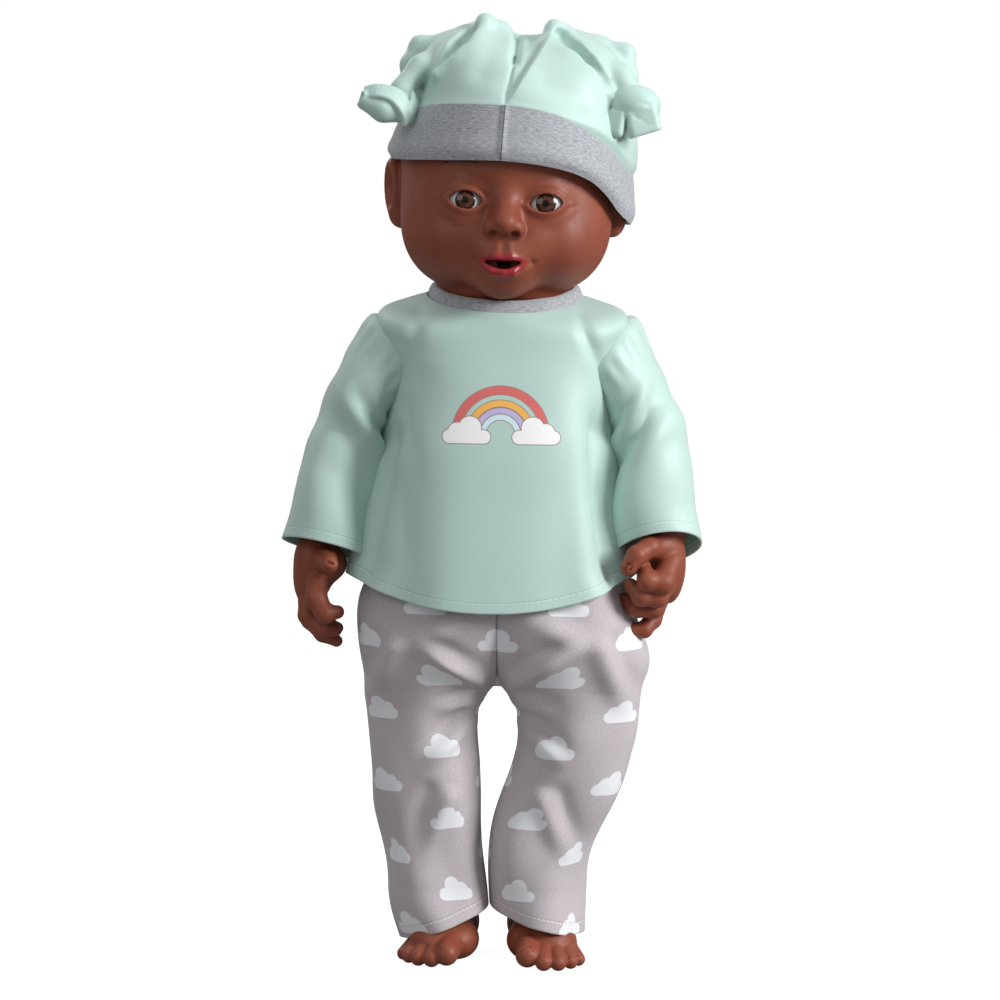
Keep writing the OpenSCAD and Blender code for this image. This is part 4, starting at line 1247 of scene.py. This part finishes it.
def right_knot_field(x, y, z):
    """The knot at the doll's right: a wrap of cloth round a rolled tail with an open end."""
    roll, strip = partial(finger, x, y, z), partial(band, x, y, z)
    core = egg(x, y, z, (-52.5, -28.5, 386.2), (8.0, 6.5, 7.4))
    tail = roll([(-48, -31, 382.6), (-56.5, -33, 383.2), (-64.2, -33, 386.4)], [5.2, 5.8, 4.6], 2)
    tail = np.maximum(tail, -(x + 67.8) * 0.95 + (z - 386) * 0.3)
    f = join(core, tail, 0.8)
    f = carve(f, roll([(-69.5, -34.5, 388.0), (-61.5, -35.0, 386.6)], [2.9, 1.4], 1), 0.4)
    wrap = strip([(-64.4, -34.0, 389.4), (-58.5, -36.0, 390.6), (-51.5, -36.6, 388.6),
                  (-46.8, -35.2, 383.4), (-45.2, -32, 378.6)],
                 [(-0.3, -0.8, 0.6), (0, -0.8, 0.7), (0.2, -0.8, 0.6), (0.5, -0.75, 0.4), (0.7, -0.7, 0.0)],
                 3.0, 1.2)
    f = join(f, wrap, 0.35)
    f = join(f, strip([(-43.6, -24, 391), (-43.2, -30, 386), (-44.6, -31, 379)],
                      [(1, -0.4, 0.4), (1, -0.5, 0.1), (1, -0.5, 0)], 2.4, 1.4), 0.5)
    return carve(f, roll([(-63.5, -38.6, 386.8), (-55.5, -40.2, 385.0), (-49.6, -38.6, 380.2)],
                         [0.5, 0.8, 0.5], 1), 0.8)


def left_knot_field(x, y, z):
    """The knot at the doll's left: a wide wrap above the tail's two lobes."""
    roll, strip = partial(finger, x, y, z), partial(band, x, y, z)
    low = 383.2 + 0.13 * (x - 55)
    wrap = egg(x, y, z, (54.6, -28.5, 389.6), (11.6, 9.0, 9.2))
    wrap = np.maximum(wrap, np.maximum(low - z, -(x - 43.4) * 0.96 - (z - 388) * 0.28))
    wrap = carve(wrap, roll([(48, -38.0, 394.4), (56, -39.4, 391.0), (65, -35.5, 388.6)],
                            [0.5, 0.9, 0.7], 1), 1.6)
    wrap = carve(wrap, roll([(47, -37.0, 388.8), (55, -39.2, 386.2)], [0.4, 0.6], 1), 1.2)
    f = join(wrap, egg(x, y, z, (54.5, -29.0, 383.5), (9.4, 6.4, 4.6)), 0.5)
    inner = strip([(46.8, -33.0, 385.5), (45.6, -33.6, 377.4)], [(-0.45, -1, 0), (-0.5, -1, -0.2)],
                  2.3, 2.2, pieces=3)
    inner = np.maximum(inner, 374.8 + 0.3 * (46 - x) - z)
    outer = strip([(56.8, -33.0, 386.5), (59.2, -32.6, 378.8)], [(0.1, -1, 0), (0.25, -1, -0.2)],
                  4.6, 3.4, pieces=3)
    outer = np.maximum(outer, (374.4 + 0.36 * (x - 52.5)) - z)
    outer = carve(outer, roll([(55, -37.0, 384.2), (62, -37.2, 381.0)], [0.3, 0.7], 1), 1.4)
    f = join(f, inner, 0.4)
    f = join(f, outer, 0.4)
    return carve(f, egg(x, y, z, (51.0, -38.0, 378.4), (0.8, 5.0, 6.0)), 0.6)


def make_knots():
    for name, field, low, high, node in (
            ("knot_cloth_right", right_knot_field, (-74, -42, 370), (-36, -12, 402), "hat_knot_right"),
            ("knot_cloth_left", left_knot_field, (38, -42, 366), (72, -12, 402), "hat_knot_left")):
        knot = field_piece(name, field, low, high, 0.5, lambda x, y, z: {"hem": 0 * x + NO_HEM}, tilt_head)
        points = np.empty(len(knot.data.vertices) * 3, np.float32)
        knot.data.attributes["rest"].data.foreach_get("vector", points)
        keep_cloth(knot, points)
        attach(knot, "hat")
        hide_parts(node)
        knot.data.materials.append(mint_material(False))


# ---------------------------------------------------------------- fabrics

MINT, MINT_PALE = (175, 203, 195), (182, 208, 201)
# MINT_SHADE is painted shade: a shadowed mint, drawn along the folded-up hem's edge and in the back
# opening's gap
MINT_SHADE, MINT_STITCH = (116, 164, 150), (198, 222, 214)
STITCH = 2.2                       # from one stitch to the next
# The print on the chest, in x and z: a rainbow of bands as (outer radius, inner radius, colour), and
# two clouds as (middle x, 1 or -1 for mirrored).
RAINBOW_X, RAINBOW_Z = -0.3, 241.8
RAINBOW = ((21.2, 17.6, (214, 105, 103)), (15.0, 12.2, (240, 181, 86)), (11.6, 9.2, (190, 180, 222)),
           (8.8, 6.4, (205, 230, 240)))
CHEST_CLOUDS, CHEST_CLOUD_Z, CHEST_CLOUD = ((-15.2, 1.0), (15.4, -1.0)), 242.3, 11.4
PRINT_LINE, PRINT_WHITE = (150, 128, 116), (243, 243, 243)
# The trousers' clouds: from one to the next across and down, the first one's drop, and their size.
CLOUD_ACROSS, CLOUD_DOWN, CLOUD_DROP, CLOUD = 60.0, 33.0, 17.0, 10.0


def circle_edge(n, x, z, cx, cz, r):
    """Distance outside a circle, as shader maths."""
    return n.minus(n.length(n.minus(x, cx), n.minus(z, cz)), r)


def cloud_edge(n, x, z, size):
    """Distance outside a flat-bottomed cloud: a long low lobe under two round ones, 1.85 x size wide."""
    past = n.math("MAXIMUM", n.minus(n.math("ABSOLUTE", x), 0.66 * size), 0.0)
    up = n.plus(z, 0.15 * size)
    d = n.minus(n.length(past, up), 0.26 * size)
    for cx, cz, r in ((0.13, 0.20, 0.43), (-0.36, 0.03, 0.35)):
        d = n.math("MINIMUM", d, circle_edge(n, x, z, cx * size, cz * size, r * size))
    return d


def inside(n, edge, soft=0.12):
    """1 inside the edge, 0 outside."""
    return n.between(edge, soft, -soft)


def stitches(n, cloth, hem, back):
    """Mask of a row of stitches back millimetres from the hem."""
    along = n.split(cloth)[0]
    row = n.between(n.away(hem, back), 0.34, 0.16)
    dash = n.between(n.away(n.math("FRACT", n.math("DIVIDE", along, STITCH)), 0.5), 0.36, 0.30)
    return n.times(row, dash)


def weave(n, cloth, pitch):
    """A fine woven grain of crossing threads, from -1 to 1."""
    s, t, _ = n.split(cloth)
    warp, weft = (n.math("SINE", n.times(along, 2 * math.pi / pitch)) for along in (s, t))
    return n.times(warp, weft)


def fabric_height(n, cloth, pitch, deep, grain, grain_deep, stitch=0.0):
    """Height of the weave, the yarn's grain and the stitches on them."""
    height = n.plus(n.times(weave(n, cloth, pitch), deep), n.times(grain, grain_deep))
    return n.plus(height, n.times(stitch, 1.5))


def mint_material(printed):
    n = Nodes("mint_printed_look" if printed else "mint_look")
    if n.made:
        return n.mat
    cloth = n.attribute("cloth")
    hem = n.attribute("hem", "Fac")
    thread = n.noise(n.stretch(cloth, (1.0, 0.18, 1.0)), 2.2, 3, 0.6)
    base = n.mix(n.between(thread, 0.3, 0.7), rgb(*MINT), rgb(*MINT_PALE))
    gloss = n.between(n.noise(cloth, 0.05, 2), 0.3, 0.7, 0.46, 0.58)
    if printed:
        base = chest_print(n, base)
    stitch = stitches(n, cloth, hem, 4.2)
    # painted shade: a darker line along the edge of the folded-up hem
    hem_shade = n.times(n.between(n.away(hem, 5.0), 0.35, 0.1), 0.35)
    base = n.mix(hem_shade, base, rgb(*MINT_SHADE))
    base = n.mix(stitch, base, rgb(*MINT_STITCH))
    height = fabric_height(n, cloth, 0.62, 0.10, thread, 0.5, stitch)
    n.shade(Base_Color=base, Roughness=gloss, Normal=n.bump(height, 0.25, 0.2))
    n.shade(Sheen_Weight=0.3, Sheen_Roughness=0.4, Specular_IOR_Level=0.55)
    n.shade(Subsurface_Weight=0.10, Subsurface_Radius=(0.6, 1.0, 0.85), Subsurface_Scale=0.003)
    return n.mat


def chest_print(n, base):
    """Over base, a rainbow between two plain clouds in front, and painted shade along the line of the
    opening behind.
    """
    x, y, z = n.split(n.attribute("rest"))
    front = n.between(y, 0.0, -8.0)
    dx, dz = n.minus(x, RAINBOW_X), n.minus(z, RAINBOW_Z)
    d = n.length(dx, dz)
    above = n.between(dz, -0.1, 0.1)
    for outer, inner, colour in RAINBOW:
        half = (outer - inner) / 2
        off = n.away(d, (outer + inner) / 2)
        for soft_out, soft_in, ink in ((0.42, 0.25, PRINT_LINE), (0.05, -0.1, colour)):
            area = n.times(n.times(n.between(off, half + soft_out, half + soft_in), above), front)
            base = n.mix(area, base, rgb(*ink))
    # painted shade in the gap of the back opening
    opening = n.times(n.between(n.math("ABSOLUTE", x), 0.45, 0.15), n.between(y, 10, 12))
    base = n.mix(n.times(opening, 0.7), base, rgb(*MINT_SHADE))
    for middle, mirror in CHEST_CLOUDS:
        edge = cloud_edge(n, n.times(n.minus(x, middle), mirror), n.minus(z, CHEST_CLOUD_Z), CHEST_CLOUD)
        for out, ink in ((n.minus(edge, 0.40), PRINT_LINE), (edge, PRINT_WHITE)):
            base = n.mix(n.times(inside(n, out), front), base, rgb(*ink))
    return base


def trouser_material():
    n = Nodes("cloud_cloth_look")
    if n.made:
        return n.mat
    cloth = n.attribute("cloth")
    hem = n.attribute("hem", "Fac")
    s, t, _ = n.split(cloth)
    melange = n.noise(n.stretch(cloth, (0.5, 1.0, 1.0)), 1.6, 4, 0.7)
    base = n.mix(n.between(melange, 0.35, 0.65), rgb(176, 168, 172), rgb(194, 187, 191))
    t = n.minus(t, CLOUD_DROP)
    for shift in (0.0, 0.5):
        across, down = (n.minus(n.math("FRACT", n.plus(n.math("DIVIDE", along, pitch), shift)), 0.5)
                        for along, pitch in ((s, CLOUD_ACROSS), (t, CLOUD_DOWN)))
        edge = cloud_edge(n, n.times(across, CLOUD_ACROSS), n.times(down, -CLOUD_DOWN), CLOUD)
        base = n.mix(inside(n, edge, 0.2), base, rgb(226, 228, 232))
    stitch = stitches(n, cloth, hem, 5.0)
    # painted shade: a darker line along the edge of the folded-up hem
    base = n.mix(n.times(n.between(n.away(hem, 5.8), 0.35, 0.1), 0.3), base, rgb(140, 130, 130))
    base = n.mix(stitch, base, rgb(218, 215, 219))
    height = fabric_height(n, cloth, 0.55, 0.12, n.noise(cloth, 5.0, 2, 0.6), 0.6, stitch)
    n.shade(Base_Color=base, Roughness=0.78, Normal=n.bump(height, 0.3, 0.2))
    n.shade(Sheen_Weight=0.12, Sheen_Roughness=0.5, Specular_IOR_Level=0.25)
    return n.mat


def jersey_material():
    n = Nodes("heather_jersey_look")
    if n.made:
        return n.mat
    cloth = n.attribute("cloth")
    fleck = n.noise(n.stretch(cloth, (0.35, 1.5, 1.0)), 1.1, 6, 0.75)
    fine = n.noise(n.stretch(cloth, (1.0, 2.0, 1.0)), 3.5, 3, 0.7)
    mixed = n.plus(n.times(fleck, 0.6), n.times(fine, 0.4))
    base = n.mix(n.between(mixed, 0.36, 0.64), rgb(104, 107, 113), rgb(204, 207, 212))
    # the brim's seam, in front
    x, y, z = n.split(n.attribute("rest"))
    leaning = n.minus(n.plus(x, SEAM_LEAN * SEAM_Z - SEAM_X), n.times(z, SEAM_LEAN))
    seam = n.between(n.math("ABSOLUTE", leaning), 0.35, 0.12)
    seam = n.times(seam, n.times(n.between(z, 335, 336), n.between(y, 0, -5)))
    base = n.mix(n.times(seam, 0.85), base, rgb(46, 46, 52))
    height = fabric_height(n, cloth, 0.9, 0.5, fine, 0.6)
    n.shade(Base_Color=base, Roughness=0.85, Normal=n.bump(height, 0.45, 0.25))
    n.shade(Sheen_Weight=0.2, Sheen_Roughness=0.5, Specular_IOR_Level=0.2)
    return n.mat


# ---------------------------------------------------------------- the works inside

def make_works():
    """Materials for the parts inside, which stay as CAD made them: colour, roughness, metal."""
    looks = {
        "hard_plastic": ((198, 193, 184), 0.45, 0), "dark_plastic": ((38, 38, 40), 0.45, 0),
        "steel": ((150, 152, 156), 0.3, 1), "contact_brass": ((196, 160, 90), 0.3, 1),
        "battery_wrap": ((60, 64, 70), 0.35, 0), "board_green": ((28, 92, 56), 0.4, 0),
        "chip_black": ((24, 24, 26), 0.4, 0), "part_tan": ((188, 150, 104), 0.5, 0),
        "cone_paper": ((52, 50, 48), 0.9, 0), "magnet_iron": ((90, 92, 96), 0.4, 1),
        "red_wire": ((170, 34, 30), 0.45, 0), "black_wire": ((28, 28, 30), 0.45, 0),
        "switch_white": ((225, 225, 222), 0.4, 0), "button_pink": ((214, 130, 150), 0.45, 0),
        "hook_tape": ((205, 208, 206), 0.95, 0), "mouth_red": ((104, 32, 28), 0.5, 0),
        "skin_vinyl": ((118, 60, 44), 0.5, 0), "eye_gloss": ((200, 200, 204), 0.2, 0),
        "mint_cloth": (MINT, 0.8, 0), "grey_jersey": ((160, 163, 170), 0.9, 0),
        "cloud_cloth": ((182, 174, 176), 0.8, 0),
    }
    slots = {part["node"]: part["material_slot"] for part in frame["record"]["subparts"]}
    for node, obj in frame["nodes"].items():
        slot = "mouth_red" if node.startswith("mouth") else slots.get(node)
        colour, rough, metal = looks[slot]
        look = plastic(f"{slot}_works", rgb(*colour), rough, metal)
        obj.data.materials.clear()
        obj.data.materials.append(look)


# ---------------------------------------------------------------- the scene

make_stage()
make_camera()
make_works()
make_head()
make_limbs()
make_top()
make_trousers()
make_brim()
make_crown()
make_knots()
